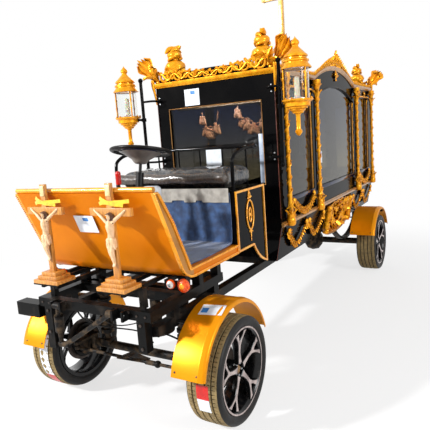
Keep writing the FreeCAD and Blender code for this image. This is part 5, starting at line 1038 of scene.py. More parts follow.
def urn_part():
    """A carved urn: a full body under diagonal drapery, with a rolled cloth across its head."""
    profile = softened([(0, 0), (60, 0), (66, 10), (54, 20), (66, 36), (78, 62), (76, 88), (58, 110),
                        (40, 120), (44, 134), (56, 150), (56, 168), (44, 184), (22, 194), (0, 196)], 2)
    shape = bmesh.new()
    shape.from_mesh(lathe(profile, 48))
    for vertex in shape.verts:
        angle = math.atan2(vertex.co.y, vertex.co.x)
        height = vertex.co.z
        fold = math.sin(angle * 6 + height * 0.05) * 0.5 + math.sin(angle * 3 - height * 0.04 + 1) * 0.5
        share = 0.09 * math.sin(math.pi * min(1, max(0, (height - 10) / 180)))
        vertex.co.x *= 1 + share * fold
        vertex.co.y *= 1 + share * fold
    for start, level, size, rise in ((0.0, 66, 74, 46), (2.1, 58, 74, 52), (4.2, 62, 74, 48),
                                     (1.0, 142, 50, 36),
                                     (3.1, 138, 50, 40), (5.2, 140, 50, 38)):
        drape = [outward(start + 2.0 * share, size * (1 - 0.25 * share ** 2), level + rise * (share - 0.45))
                 for share in [index / 12 for index in range(13)]]
        shares = [0.3 + 0.9 * math.sin(math.pi * (0.1 + 0.8 * index / 12)) for index in range(13)]
        shape.from_mesh(tubes([(drape, shares)], 13, 3))
    roll = [(-68, 6, 176), (-50, 8, 196), (-22, 12, 208), (10, 8, 204), (36, 0, 212), (44, -4, 232)]
    shape.from_mesh(tubes([(roll, [0.35, 1.0, 1.35, 1.3, 1.1, 0.8])], 19, 4))
    roll = [(-34, -30, 178), (-8, -30, 200), (26, -24, 196), (50, -12, 178)]
    shape.from_mesh(tubes([(roll, [0.5, 1.2, 1.1, 0.5])], 15, 4))
    skirt = leaf_part(70, 52, 0.9, 5, lobes=3, rows=8, columns=6)
    for index in range(6):
        out = outward(full_turn * (index + 0.5) / 6)
        stamp(shape, skirt, aimed(out * 58 + up_axis * 70, up_axis * -1 + out * 0.12, out, 0.95))
    for vertex in shape.verts:
        vertex.co.z = min(vertex.co.z, 232)
    return as_mesh(shape)


def roof_height(y):
    """The top of the cambered roof at a distance from the middle."""
    half, rise = body_half - wall, 55
    arc = (half ** 2 + rise ** 2) / (2 * rise)
    return eave + rise - arc + math.sqrt(arc * arc - y * y)


def make_roof_ornaments():
    """Draped urns near the corners, and the tall gilt cross at the middle of the roof."""
    shape = bmesh.new()
    urn = urn_part()
    y = body_half - 120
    seat = roof_height(y)
    for x in (body_front - 105, body_rear + 105):
        for side in (1, -1):
            stamp(shape, urn, at(x, side * y, seat + 16) @ turned(0.6 if side > 0 else 2.4, "Z"))
            stamp(shape, rod_part(68, 30, 4, 32), Vector((x, side * y, seat - 8)))
    top, bar, arm = 2960, 38, 190
    foot, bar_z = roof_height(0), top - arm - bar / 2
    stamp(shape, box_part((bar, bar, top - foot), 3), Vector((body_middle, 0, (top + foot) / 2)), 1)
    stamp(shape, box_part((bar, 2 * arm, bar), 3), Vector((body_middle, 0, bar_z)), 1)
    plinth = softened([(0, 0), (70, 0), (70, 8), (62, 22), (42, 34), (30, 64), (19, 72), (0, 72)], 1)
    stamp(shape, lathe(plinth, 32), Vector((body_middle, 0, foot - 6)))
    for side in (1, -1):
        end = Vector((body_middle, side * arm, bar_z))
        stamp(shape, ball_part(26), end.lerp(Vector((body_middle, 0, bar_z)), 0.12), 1)
    for vertex in shape.verts:
        vertex.co.z = max(vertex.co.z, roof_height(min(abs(vertex.co.y), body_half - wall)) + 0.5)
    piece("urns_and_roof_cross", shape, [gold_leaf, gold_pale], instead=("roof_ornaments",))


def make_lanterns():
    """Coach lanterns: ringed hood, three knotted bars, stepped cup and a long turned stem."""
    low, glass, cap, top = 1471, 1700, 1885, 2080
    cup = [(0, low), (10, low + 4), (22, low + 22), (23, low + 32), (15, low + 44), (14, low + 60)]
    cup += [(radius, glass - drop) for radius, drop in (
        (14, 100), (20, 90), (34, 86), (36, 78), (49, 68), (49, 62), (63, 58), (64, 48), (79, 44), (80, 22),
        (90, 16), (98, 10), (98.5, 2), (90, 0), (0, 0))]
    hood = [(radius, cap + rise) for radius, rise in (
        (0, 0), (94, 0), (96, 4), (90, 14), (76, 30), (75, 38), (82, 44), (80, 52), (68, 58), (67, 66),
        (75, 72),
        (73, 80), (60, 92), (36, 116), (20, 132), (19, 140), (27, 152), (25, 164), (12, 178), (5, 186))]
    hood += [(0, top)]
    bar = rod_part(5, cap - glass, sides=12)
    knot, stud = ball_part(8.5), ball_part(7, detail=1)
    collar = lathe([(12.4, -13), (18, -13), (19, -8), (18, 13), (12.4, 13), (12.4, -13)], 24)
    ring = lathe([(76, -2), (79, -2), (79, 2), (76, 2), (76, -2)], 48)
    wax = [(0, 0), (30, 0), (30, 10), (18, 14), (17, 24), (17, 130), (13, 138), (0, 141)]
    candle = lathe(softened(wax, 1), 24)
    shape, candles = bmesh.new(), bmesh.new()
    for side in (1, -1):
        place = Vector((-880, side * 684, 0))
        for profile in (cup, hood):
            stamp(shape, lathe(profile, 48), place)
        for index in range(3):
            angle = math.radians(120 * index + 60)
            stamp(shape, bar, place + outward(angle, 83, glass))
            for level in (62, 70, 122, 130):
                stamp(shape, knot, at(place + outward(angle, 83, glass + level)) @ Matrix.Scale(0.85, 4))
            for share in (0.5, 1):
                stamp(shape, stud, place + outward(angle + share, 91, glass + 3))
        pole, end = Vector((-905, side * 556, glass - 32)), place + up_axis * (glass - 32)
        stamp(shape, tubes([([pole, pole.lerp(end, 0.5) + up_axis * 6, end], None)], 9, 3), slot=1)
        stamp(shape, collar, pole, 1)
        for level in (glass + 2, cap - 2):
            stamp(shape, ring, place + up_axis * level, 2)
        stamp(candles, candle, Vector((-880, side * 684, glass + 0.4)))
    piece("coach_lanterns", shape, [gold_leaf, black_enamel, rim_machined], instead=("lanterns",))
    piece("lantern_candles", candles, [candle_wax], instead=("candles",))


def garland(points, leaf, chance, spread=0.55):
    """Laurel leaves laid in pairs along a hanging line, with berries between them."""
    shape = bmesh.new()
    shape.from_mesh(tubes([(points, None)], 3.5, 2))
    berry = ball_part(5.5, detail=1)
    for index in range(len(points) - 1):
        ahead = (points[index + 1] - points[index]).normalized()
        for hand in (1, -1):
            side = ahead.cross(across_axis) * hand
            fan = ahead + side * (spread + chance.uniform(-0.12, 0.2)) + across_axis * 0.3
            stamp(shape, leaf, aimed(points[index] + side * 3, fan, across_axis, chance.uniform(0.8, 1.1)))
            if index % 2:
                stamp(shape, berry, points[index] + side * chance.uniform(7, 12) + across_axis * 12)
    return as_mesh(shape)


def hanging(half, drop, count):
    """Points of a swag in the XZ plane, from its two ends down to its lowest point."""
    shares = [2 * index / count - 1 for index in range(count + 1)]
    return [Vector((half * share, 0, -drop * (1 - share ** 2))) for share in shares]


def badge_part():
    """The skirt's central ornament: bold carved leaves and scrolls, an upright roll and a half-round foot."""
    chance = random.Random(3)
    half = 378
    xs = [half * (index / 12 - 1) for index in range(25)]
    bottom = [Vector((x, 12, 30 - 90 * math.sqrt(max(0, 1 - (x / half) ** 2)))) for x in xs]
    top = [Vector((x, 8, 200 + 42 * (1 - (x / half) ** 2) + 8 * math.sin(x / 21))) for x in xs]
    ground = bmesh.new()
    plate(ground, [(point.x, point.z) for point in bottom + top[::-1]], 7)
    shape = bmesh.new()
    shape.from_mesh(as_mesh(ground))
    stamp(shape, tubes([(bottom, None)], 17, 4), slot=1)
    stamp(shape, tubes([(top, [0.7 + 0.4 * math.sin(3 * index) for index in range(25)])], 12, 3))
    roll = lathe(softened([(0, -14), (26, -14), (32, 2), (24, 16), (29, 60), (24, 120), (30, 186), (24, 206),
                           (34, 224), (26, 240), (0, 244)], 1), 24)
    for sign in (1, -1):
        middle = sign * (half - 24)
        stamp(shape, roll, Vector((middle, 24, -4)))
        wrap = [Vector((middle + 31 * math.cos(turn), 24 + 31 * math.sin(turn), 10 + 210 * index / 30))
                for index, turn in enumerate(angles(30, 2.5))]
        stamp(shape, tubes([(wrap, None)], 7, 2))
        for x, z, size, turn in ((262, 128, 66, 0.3), (150, 60, 56, 2.0), (160, 184, 46, -0.9),
                                 (62, 140, 46, 1.2),
                                 (262, 206, 34, 0.2)):
            place = at(sign * x, 20, z) @ Matrix.Diagonal((sign, 1, 1, 1)) @ turned(turn, "Y")
            stamp(shape, scroll_part(size, size * 0.24), place)
    leaf = leaf_part(124, 66, 1.2, 8, lobes=3, rows=11, columns=6)
    for index in range(30):
        x = -half + 70 + (2 * half - 140) * (index % 10) / 9 + chance.uniform(-16, 16)
        z = 24 + 74 * (index // 10) + chance.uniform(-14, 14)
        heading = math.atan2(x, 170) + chance.uniform(-0.8, 0.8)
        ahead = Vector((math.sin(heading), 0.4, math.cos(heading) * (1 if index // 10 else -0.4)))
        stamp(shape, leaf, aimed(Vector((x, 6, z)), ahead, across_axis, chance.uniform(0.55, 0.9)))
    shell = leaf_part(140, 46, 0.8, 8, lobes=4, rows=10, columns=6)
    for index in range(7):
        heading = -1.3 + 0.433 * index
        ahead = Vector((math.sin(heading), 0.35, math.cos(heading)))
        stamp(shape, shell, aimed(Vector((0, 12, 60)), ahead, across_axis, 0.95))
    stamp(shape, ball_part(28, (1, 0.8, 1)), Vector((0, 26, 70)))
    for vertex in shape.verts:
        vertex.co.y = min(vertex.co.y, 52)
    bmesh.ops.recalc_face_normals(shape, faces=shape.faces)
    return plain_mesh(shape)


def make_carvings():
    """Laurel garlands on the skirt and under the small windows, with the carved badge amidships."""
    chance = random.Random(11)
    shape = bmesh.new()
    small_end, long_end = 186, 226
    small = garland(hanging(small_end, 136, 22), leaf_part(38, 20, 1.0, 4, lobes=1), chance, 0.8)
    long = garland(hanging(long_end, 98, 26), leaf_part(42, 27, 1.0, 4), chance, 0.75)
    knot = ball_part(20, (1, 0.8, 1.3))
    tassel = leaf_part(60, 36, 0.5, 5, rows=6)
    badge = badge_part()
    cup = lathe(softened([(0, -34), (15, -34), (15, -26), (8, -18), (10, -8), (24, 4), (27, 22), (20, 34),
                          (10, 38), (9, 46), (4, 58), (0, 66)], 1), 20)
    crown_leaf = leaf_part(34, 24, 0.8, 4)
    outer = (body_front - body_rear) / 2 - 300
    cups = [(body_middle, 1962, 1.1)]
    cups += [(centre + shift, 1846, 0.62) for centre in small_middle for shift in (-110, 110)]
    for mirror in mirrors:
        on_skirt = mirror @ at(0, body_half - skirt_tuck, skirt_low) @ turned(-skirt_lean, "X")
        stamp(shape, badge, on_skirt @ at(body_middle, 0, 0))
        for offset in (outer, outer - 435, -outer, 435 - outer):
            place = on_skirt @ at(body_middle + offset, 14, 205)
            stamp(shape, small, place)
            for hand in (1, -1):
                stamp(shape, knot, place @ at(hand * small_end, 4, 0))
                spot = Vector((hand * (small_end + 10), 2, -2))
                stamp(shape, tassel, place @ aimed(spot, up_axis * -1 + across_axis * 0.2, across_axis))
        for centre in small_middle:
            place = mirror @ at(centre, body_half + 15, sill_z - 32)
            stamp(shape, long, place)
            for hand in (1, -1):
                stamp(shape, knot, place @ at(hand * long_end, 2, 4))
    for mirror in mirrors:
        for x, z, size in cups:
            place = mirror @ at(x, body_half + 9, z) @ Matrix.Scale(size, 4)
            stamp(shape, cup, place @ Matrix.Diagonal((1, 0.6, 1, 1)))
            for hand in (1, -1):
                leaning = aimed(Vector((hand * 6, 4, -10)), Vector((hand, 0.2, 0.9)), across_axis)
                stamp(shape, crown_leaf, place @ leaning)
        for centre in small_middle:
            bar = box_part((2 * small_half + 60, 10, 18), 3)
            stamp(shape, bar, mirror @ Vector((centre, body_half + 5, small_top + 20)), 1)
            bead_row(shape, [mirror @ Vector((centre + shift, body_half + 10, small_top + 20))
                             for shift in (-small_half - 20, small_half + 20)], 4.5, 13)
    piece("gilt_carvings", shape, [gold_leaf, bronze_strip], instead=("carvings",))


# Cab

def make_cab_trim():
    """Edging of dash and seat: flat side bands between beads, a rolled top and the seat's ornament."""
    source = bmesh.new()
    source.from_mesh(nodes["cab_trim"].data)
    bmesh.ops.remove_doubles(source, verts=source.verts, dist=0.00001)
    bmesh.ops.transform(source, matrix=from_axle.inverted(), verts=source.verts)
    x, z = seat_front - 180, seat_top - 166
    old = []
    for face in source.faces:
        middle = face.calc_center_median()
        if abs(middle.y) > cab_half - 2 and abs(middle.x - x) < 90 and abs(middle.z - z) < 146:
            old.append(face)
        flat = abs(abs(middle.y) - cab_half) < 0.6 and abs(face.normal.y) > 0.9
        face.material_index = 1 if flat else 0
    bmesh.ops.delete(source, geom=old, context="FACES")
    leaf = leaf_part(30, 18, 0.7, 2.5)
    front, rear = seat_front - 7, seat_rear + 8
    for side in (1, -1):
        y = side * (cab_half + 4)
        out = across_axis * side
        for wide, tall, thick in ((47, 92, 5.5), (17, 44, 5)):
            ring = [Vector((x + wide * math.cos(turn) * (1 - 0.12 * abs(math.sin(turn)) ** 6), y,
                            z + tall * math.sin(turn))) for turn in angles(32)]
            stamp(source, tubes([(ring, None)], thick, 3, False))
            bead_row(source, ring, 4.4, 11)
        stamp(source, ball_part(8, (1, 0.7, 1.5)), Vector((x, y, z)))
        loop = [Vector((x + 11 * math.cos(turn), y, z + 122 + 17 * math.sin(turn))) for turn in angles(12)]
        stamp(source, tubes([(loop, None)], 4.5, 3, False))
        stamp(source, leaf, aimed(Vector((x, y, z + 134)), up_axis, out, 0.9))
        for index, size in enumerate((7, 5.5, 6.5, 5, 6, 4.5, 5, 4)):
            stamp(source, ball_part(size, (1, 0.7, 1.1)), Vector((x, y, z - 99 - index * 9)))
        for hand in (1, -1):
            stamp(source, leaf, aimed(Vector((x + hand * 8, y, z + 100)), Vector((hand, 0, 0.6)), out, 0.8))
            stamp(source, leaf, aimed(Vector((x + hand * 6, y, z - 96)), Vector((hand, 0, -0.8)), out, 0.7))
        for path in dash_edges:
            bead_row(source, [Vector((ahead, side * (cab_half + 7), up)) for ahead, up in path], 4.6, 11)
        for line_x, foot in ((front, floor_top), (rear, 690)):
            bead_row(source, [Vector((line_x, y, seat_top - 8)), Vector((line_x, y, foot))], 5.5, 13)
        bead_row(source, [Vector((front, y, seat_top - 6)), Vector((rear, y, seat_top - 6))], 5.5, 13)
    piece("cab_edging", source, [edge_gold, band_gold], instead=("cab_trim",))


def make_seat_rail():
    """A black tube bent softly round the back of the bench and down in front, with slim uprights."""
    y = cab_half - 15
    front, rear, foot, top = seat_front - 18, seat_rear + 12, seat_top, 1430
    bend = softened([(front, y, foot), (front, y, foot + 176), (front - 24, y, top - 40),
                     (front - 110, y, top - 6),
                     (rear + 30, y, top), (rear, y - 30, top), (rear, 0, top)], 2)
    line = bend + [Vector((point.x, -point.y, point.z)) for point in reversed(bend[:-1])]
    shape = bmesh.new()
    stamp(shape, tubes([(line, None)], 11, 4, False))
    for place in range(-2, 3):
        stamp(shape, rod_part(6, top - foot), Vector((rear, place * 176, foot)))
    flange = lathe([(0, 0), (22, 0), (22, 5), (12, 8), (0, 8)], 24)
    for across in (y, -y):
        stamp(shape, flange, Vector((front, across, foot + 0.3)))
    piece("bent_seat_rail", shape, [black_enamel], instead=("seat_rail",))


def make_carpet():
    """Carpet glued to the floor, up the seat's front and up the foot of the dash, its dark navy partly the
    cloth's own blue and partly painted shade.
    """
    inside = cab_half - 31
    line = softened([(seat_front + 4, 0, seat_top - 6), (seat_front + 4, 0, floor_top + 30),
                     (seat_front + 30, 0, floor_top + 4), (70, 0, floor_top + 4), (132, 0, floor_top + 12),
                     (186, 0, floor_top + 62)], 2)
    section = [(-inside, -3), (inside, -3), (inside, 3), (-inside, 3)]
    shape = bmesh.new()
    shape.from_mesh(swept(section, stations_along(line, across_axis)))
    wide_edges = [edge for edge in shape.edges if edge.calc_length() > 200]
    bmesh.ops.subdivide_edges(shape, edges=wide_edges, cuts=40, use_grid_fill=True)
    chance = random.Random(5)
    for vertex in shape.verts:
        vertex.co += Vector((chance.uniform(-0.8, 0.8), 0, chance.uniform(-0.8, 0.8)))
    carpet = piece("blue_carpet_and_shade", shape, [blue_carpet_and_shade])


def apply_modifiers(thing):
    """Bake a thing's modifiers into its mesh."""
    graph = bpy.context.evaluated_depsgraph_get()
    done = bpy.data.meshes.new_from_object(thing.evaluated_get(graph))
    thing.modifiers.clear()
    thing.data = done


def swell(thing, pressure, cap):
    """Blow a closed cloth skin up a little, and hold each point within a cap of where it was."""
    scene = bpy.context.scene
    start = [vertex.co.copy() for vertex in thing.data.vertices]
    cloth = thing.modifiers.new("swell", "CLOTH")
    cloth.settings.use_pressure = True
    cloth.settings.uniform_pressure_force = pressure
    cloth.settings.effector_weights.gravity = 0
    cloth.settings.quality = 4
    cloth.point_cache.frame_start = 1
    cloth.point_cache.frame_end = 20
    for step in range(1, 21):
        scene.frame_set(step)
    graph = bpy.context.evaluated_depsgraph_get()
    swollen = thing.evaluated_get(graph).data
    places = [vertex.co.copy() for vertex in swollen.vertices]
    thing.modifiers.clear()
    scene.frame_set(1)
    for vertex, before, after in zip(thing.data.vertices, start, places):
        move = after - before
        if move.length > cap:
            move *= cap / move.length
        vertex.co = before + move


def finish_cloth(thing, finish):
    """Give a simulated piece one level of subdivision, its cloth and its body."""
    soft = thing.modifiers.new("soft", "SUBSURF")
    soft.levels = soft.render_levels = 1
    apply_modifiers(thing)
    thing.data.materials.clear()
    thing.data.materials.append(finish)
    thing.data.shade_smooth()
    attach(thing, "chassis")


def make_cushion():
    """The bench cushion, swollen by a cloth simulation, with a thick pleated roll along its front edge."""
    low, high = reach("seat_cushion")
    lift, inset, panel, seam_half = 24, 16, 284, 14
    size = Vector((high.x - low.x - 2 * inset, high.y - low.y - 2 * inset, high.z - low.z - 6))
    shape = bmesh.new()
    bmesh.ops.create_cube(shape, size=1)
    bmesh.ops.scale(shape, vec=size, verts=shape.verts)
    rounded(shape, shape.edges[:], 28, 4)
    bmesh.ops.translate(shape, vec=(low + high) / 2 + Vector((-6, 0, lift)), verts=shape.verts)
    bmesh.ops.transform(shape, matrix=from_axle, verts=shape.verts)
    cushion = as_object(shape, "bench_cushion")
    remesh = cushion.modifiers.new("even", "REMESH")
    remesh.mode = "VOXEL"
    remesh.voxel_size = 0.0075
    apply_modifiers(cushion)
    swell(cushion, pressure=4.0, cap=0.018)
    bottom = (low.z + lift - 12) / 1000
    for vertex in cushion.data.vertices:
        spot = from_axle.inverted() @ vertex.co
        share = min(1, max(0, (spot.z - low.z - 60) / 50))
        seam = math.exp(-(((spot.y + panel / 2) % panel - panel / 2) / seam_half) ** 2)
        crease = math.sin(spot.y / 23 + 2 * math.sin(spot.x / 57))
        crease *= math.sin(spot.x / 31 + math.sin(spot.y / 71))
        vertex.co.z += (0.0035 * crease - 0.011 * seam) * share
        vertex.co.z = max(vertex.co.z, bottom)
    finish_cloth(cushion, brocade)
    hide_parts("seat_cushion")
    roll, shares = [], []
    for index in range(141):
        y = -420 + 6 * index
        roll.append(Vector((high.x - 10, y, high.z - 36 + lift + 2.5 * math.sin(y / 37))))
        shares.append((0.97 if index % 2 else 1.0) * min(1, 0.55 + min(index, 140 - index) / 6))
    shape = bmesh.new()
    shape.from_mesh(tubes([(roll, shares)], 33, 6, False))
    piece("cushion_roll", shape, [roll_cloth])


def make_painted_sunlit_band():
    """A grey cloth band in soft folds below the cushion: painted sunlight on the seat's front, its lower edge
    in steps that are a painted shadow edge.
    """
    half, tall = cab_half - 34, 72
    shape = bmesh.new()
    bmesh.ops.create_grid(shape, x_segments=160, y_segments=6, size=0.5)
    for vertex in shape.verts:
        y, share = vertex.co.x * 2 * half, 0.5 - vertex.co.y
        # The steps in the lower edge are the painted edge of the shadow cast by the dash's contents
        step = 12 if -60 < y < 20 or 110 < y < 190 or y > 240 else 0
        depth = share * (tall + step * share)
        fold = 2 * math.sin(y / 16) * share
        vertex.co = Vector((seat_front + 14 + fold, y, seat_top + 22 - depth))
    bmesh.ops.recalc_face_normals(shape, faces=shape.faces)
    bmesh.ops.solidify(shape, geom=shape.faces[:], thickness=1.2)
    valance = piece("seat_valance", shape, [sunlit_band_cloth])


def make_hand_wheel():
    """The steering wheel: thick rim, flat spokes, a shallow bowl with a blue-black ring that is a painted
    highlight.
    """
    stand = aimed(hand_wheel_centre, column_axis, along_axis)
    shape, rim = bmesh.new(), bmesh.new()
    spun(rim, [(165 + 13.5 * math.cos(turn), 0, 11 * math.sin(turn)) for turn in angles(14)[:-1]], 72)
    stamp(shape, as_mesh(rim), stand)
    bowl = [(0, -70), (30, -70), (38, -64), (52, -46), (96, -20), (116, -10), (122, -4), (114, 0), (60, 6),
            (0, 9)]
    stamp(shape, lathe(bowl, 48), stand, 1)
    # The ring in blue-black is a painted highlight
    stamp(shape, lathe([(116, -7), (124, -8), (124.5, -3), (116, 1), (116, -7)], 48), stand, 2)
    spoke = box_part((76, 26, 8), 3)
    for turn in (90, 210, 330):
        stamp(shape, spoke, stand @ turned(math.radians(turn), "Z") @ at(126, 0, -5))
    stamp(shape, lathe(softened([(0, 8), (26, 8), (26, 14), (0, 18)], 1), 24), stand)
    stamp(shape, rod_part(9, 150), stand @ at(0, 0, -222))
    piece("hand_wheel", shape, [plastic, bowl_plastic, blue_reflection_enamel], "steering_wheel",
          ("steering_wheel",))


def make_controls():
    """Column with its boot, pale instrument pod, hand lever with bellows and red cap, pedals."""
    shape = bmesh.new()
    foot = (hand_wheel_centre.z - floor_top) / column_axis.z - 14
    base = hand_wheel_centre - column_axis * foot
    stem = [(0, 0), (21.8, 0), (21.8, foot - 122), (16, foot - 120), (9.6, foot - 120), (9.6, foot - 238),
            (0, foot - 240)]
    stamp(shape, lathe(stem, 28), aimed(base, column_axis, along_axis))
    folds = softened([(0, 0), (48, 0), (46, 10), (36, 22), (40, 30), (30, 42), (32, 50), (23, 60), (0, 60)],
                     1)
    stamp(shape, lathe(folds, 28), Vector((base.x, 0, floor_top)))
    stamp(shape, box_part((64, 112, 76), 24, 5), Vector((-42, 118, 1222)), 1)
    stamp(shape, box_part((6, 66, 22), 2), Vector((-11, 118, 1218)))
    stamp(shape, box_part((6, 66, 22), 2), Vector((-73, 118, 1222)))
    stamp(shape, box_part((26, 26, 326), 4), Vector((-42, 118, 1025)))
    lever = Vector((-50, -120, floor_top))
    bellows = [(0, 300)]
    for index in range(6):
        wide, level = 34 - 3.5 * index, 15 * index
        bellows += [(wide, level + 302), (wide, level + 307), (wide - 8, level + 312)]
    bellows += [(9, 396), (0, 396)]
    stamp(shape, lathe(bellows, 28), lever)
    stamp(shape, box_part((52, 60, 300), 8), lever + Vector((0, 0, 150)))
    stamp(shape, rod_part(8, 440), lever)
    cap = softened([(0, 404), (15, 406), (16, 420), (15, 452), (17, 474), (12, 484), (0, 487)], 2)
    stamp(shape, lathe(cap, 24), lever, 2)
    for place in (-200, -290):
        stamp(shape, box_part((14, 14, 92), 2), Vector((67, place, floor_top + 46)))
        stamp(shape, box_part((14, 64, 74), 4), Vector((53, place, floor_top + 97)))
        for index in range(5):
            stamp(shape, box_part((3, 56, 5), 1), Vector((45.4, place, floor_top + 71 + 13 * index)))
    piece("driver_levers", shape, [plastic, pale_plastic, red_plastic],
          instead=("driver_controls",))


def make_lamps():
    """Two round marker lamps at each end of the dash: a small white one and a larger orange one."""
    shape = bmesh.new()
    for side in (1, -1):
        for y, radius, slot in ((cab_half - 80, 24, 1), (cab_half - 4, 34, 0)):
            stand = at(200, side * y, 793) @ turned(quarter_turn, "Y")
            body = [(0, 0), (radius, 0), (radius, 12), (radius * 0.86, 15), (radius * 0.86, 10), (0, 10)]
            stamp(shape, lathe(body, 32), stand)
            dome = softened([(0, 9), (radius * 0.84, 9), (radius * 0.84, 14), (radius * 0.6, 21), (0, 25)], 1)
            stamp(shape, lathe(dome, 32), stand, slot)
            hub = [(0, 20), (radius * 0.3, 21), (radius * 0.4, 23.4), (radius * 0.3, 25.4), (0, 25.8)]
            stamp(shape, lathe(hub, 24), stand, 3 if slot else 4)
            if not slot:
                ray = box_part((3, radius * 0.9, 2.5), 0.6)
                for index in range(4):
                    stamp(shape, ray, stand @ at(0, 0, 22) @ turned(index * math.pi / 4, "Z"), 4)
    piece("marker_lamps", shape, [lens_orange, lens_white, frame_paint, bolt_zinc, edge_gold],
          instead=("running_lamps",))


# Crosses and figures

def make_crosses():
    """Oak crosses on stepped bases, each with a pale bare plate and a yellow ribbon tied at its head."""
    top = cross_base + cross_tall
    shape = bmesh.new()
    for side in (1, -1):
        level = cross_base
        for share, height in ((1, 20), (0.78, 18), (0.58, 18)):
            step = box_part((127 * share, 175 * share, height), 3)
            stamp(shape, step, Vector((cross_x, side * cross_y, level + height / 2)))
            level += height
        post, bar, plate_size = (20, 34, top - level), (23, 250, 38), (5, 27, 52)
        for size, edge, x, z, slot in ((post, 2, 0, (top + level) / 2, 0), (bar, 2, 0, top - 135, 0),
                                       (plate_size, 1.5, 12, top - 34, 1)):
            stamp(shape, box_part(size, edge), Vector((cross_x + x, side * cross_y, z)), slot)
    piece("oak_crosses", shape, [oak, pale_plate], instead=("crosses",))
    ribbons = {"ribbon_": ((4, -66, -6), (12, -44, 2), (16, -18, 2), (16, 18, 2), (14, 60, 4), (6, 118, 8)),
               "ribbon_end_": ((6, -58, 24), (14, -38, 14), (20, -16, 8), (20, 18, -4), (17, 50, -6),
                               (10, 84, -12))}
    wide = 18
    section = [(-0.5, -wide / 2), (0.5, -wide / 2), (0.5, wide / 2), (-0.5, wide / 2)]
    for word, side in (("left", 1), ("right", -1)):
        knot = Vector((cross_x, side * cross_y, top - 92))
        for kind, points in ribbons.items():
            line = softened([knot + Vector(point) for point in points], 2)
            shape = bmesh.new()
            shape.from_mesh(swept(section, stations_along(line, along_axis)))
            ribbon = piece(kind + word, shape, [yellow_ribbon])


def limb(shape, places, radii):
    """A smooth tapering limb through a row of places."""
    widest = max(radii)
    shape.from_mesh(tubes([(places, [radius / widest for radius in radii])], widest, 5))
    for end in (0, -1):
        stamp(shape, ball_part(radii[end], detail=3), Vector(places[end]))


def figure_shape():
    """A slender figure with raised arms, head bowed to one side, and a cloth at the hips."""
    shape = bmesh.new()
    limb(shape, [(16, 0, 2), (17, 0, -12), (18, 1, -32), (15, 1, -58), (16, -1, -80), (16, -1, -96)],
         [12, 20, 21, 15.5, 17, 16.5])
    stamp(shape, ball_part(17, (0.7, 1.3, 0.8), 3), Vector((17, 0, -12)))
    for hand in (1, -1):
        limb(shape, [(16, hand * 17, -6), (16, hand * 30, 4), (13, hand * 52, 20), (12, hand * 72, 34),
                     (11, hand * 88, 46)], [10, 9.5, 8, 6.5, 5.5])
        stamp(shape, ball_part(6, (0.6, 1.2, 0.9)), Vector((11, hand * 93, 50)))
        shift = -3 if hand > 0 else 3
        limb(shape, [(17, hand * 8 - 1, -92), (26, hand * 7 + 1, -124), (29, hand * 5 + 2, -146),
                     (18, hand * 4 + 2 + shift * 0.4, -178), (12, hand * 1.5 + 2, -206)],
                     [14, 13, 11, 8.5, 6.5])
        limb(shape, [(12, hand * 3 + 2, -204), (20, hand * 4 + 2, -216)], [5.5, 4.5])
    limb(shape, [(17, 1, 0), (20, 3, 12)], [7.5, 7])
    head = [(14, (0.95, 0.82, 1.15), 3, (23, 6, 22)), (8.6, (0.9, 0.8, 0.9), 3, (27.5, 6.5, 13)),
            (2.8, (1, 0.7, 1.7), 2, (36, 7, 21)), (3.2, (0.7, 1.9, 0.6), 2, (34.8, 7, 27)),
            (2.4, (0.6, 1.6, 0.6), 2, (35.2, 7, 14.5))]
    for radius, stretch, detail, place in head:
        stamp(shape, ball_part(radius, stretch, detail), Vector(place))
    for hand in (1, -1):
        stamp(shape, ball_part(1.8, (0.6, 1.3, 0.5)), Vector((34.6, 7 + hand * 4.6, 23.6)))
        limb(shape, [(18, 6 + hand * 10, 32), (16, 6 + hand * 14, 18), (15, 5 + hand * 15, 4),
                     (17, 4 + hand * 13, -8)], [6.5, 7.5, 6.5, 4])
    stamp(shape, ball_part(15.5, (0.95, 0.95, 0.95), 3), Vector((18.5, 6, 27)))
    band = [Vector((23 + 15.5 * math.cos(turn), 6 + 14 * math.sin(turn), 32 + 2 * math.sin(3 * turn)))
            for turn in angles(20)]
    shape.from_mesh(tubes([(band, None)], 3.0, 2))
    for index in range(9):
        angle = full_turn * index / 9
        hip = Vector((17 + 14 * math.cos(angle), -1 + 18 * math.sin(angle), -86))
        limb(shape, [hip, hip + outward(angle, 3, -16), hip + outward(angle + 0.3, 4, -38)], [7, 8, 5])
    limb(shape, [(26, 15, -86), (28, 23, -98), (25, 26, -130)], [8, 7, 4])
    limb(shape, [(28, -17, -90), (32, 0, -96), (27, 17, -88)], [6, 7, 6])
    return shape


def make_figures():
    """The pale cast figures: their parts are grown together by a fine remesh and smoothed."""
    holder = as_object(figure_shape(), "figure")
    grown = holder.modifiers.new("grown", "REMESH")
    grown.mode = "VOXEL"
    grown.voxel_size = 1.8
    eased = holder.modifiers.new("eased", "SMOOTH")
    eased.factor = 0.5
    eased.iterations = 2
    apply_modifiers(holder)
    for polygon in holder.data.polygons:
        spot = polygon.center
        face = spot.x > 27 and abs(spot.y - 6.5) < 9 and spot.z < 33
        hair = spot.z > 2 and abs(spot.y - 6) < 24 and not face
        lock = -12 < spot.z <= 2 and 9 < abs(spot.y - 5) < 21 and abs(spot.y - 6) < 24 and spot.x < 24
        polygon.material_index = 1 if hair or lock else 0
    shape = bmesh.new()
    for side in (1, -1):
        stamp(shape, holder.data, Vector((cross_x + 2, side * cross_y, cross_base + cross_tall - 176)))
    bpy.data.objects.remove(holder)
    piece("cast_figures", shape, [resin, brown_resin], instead=("figures",), crease=80)


# Small fittings

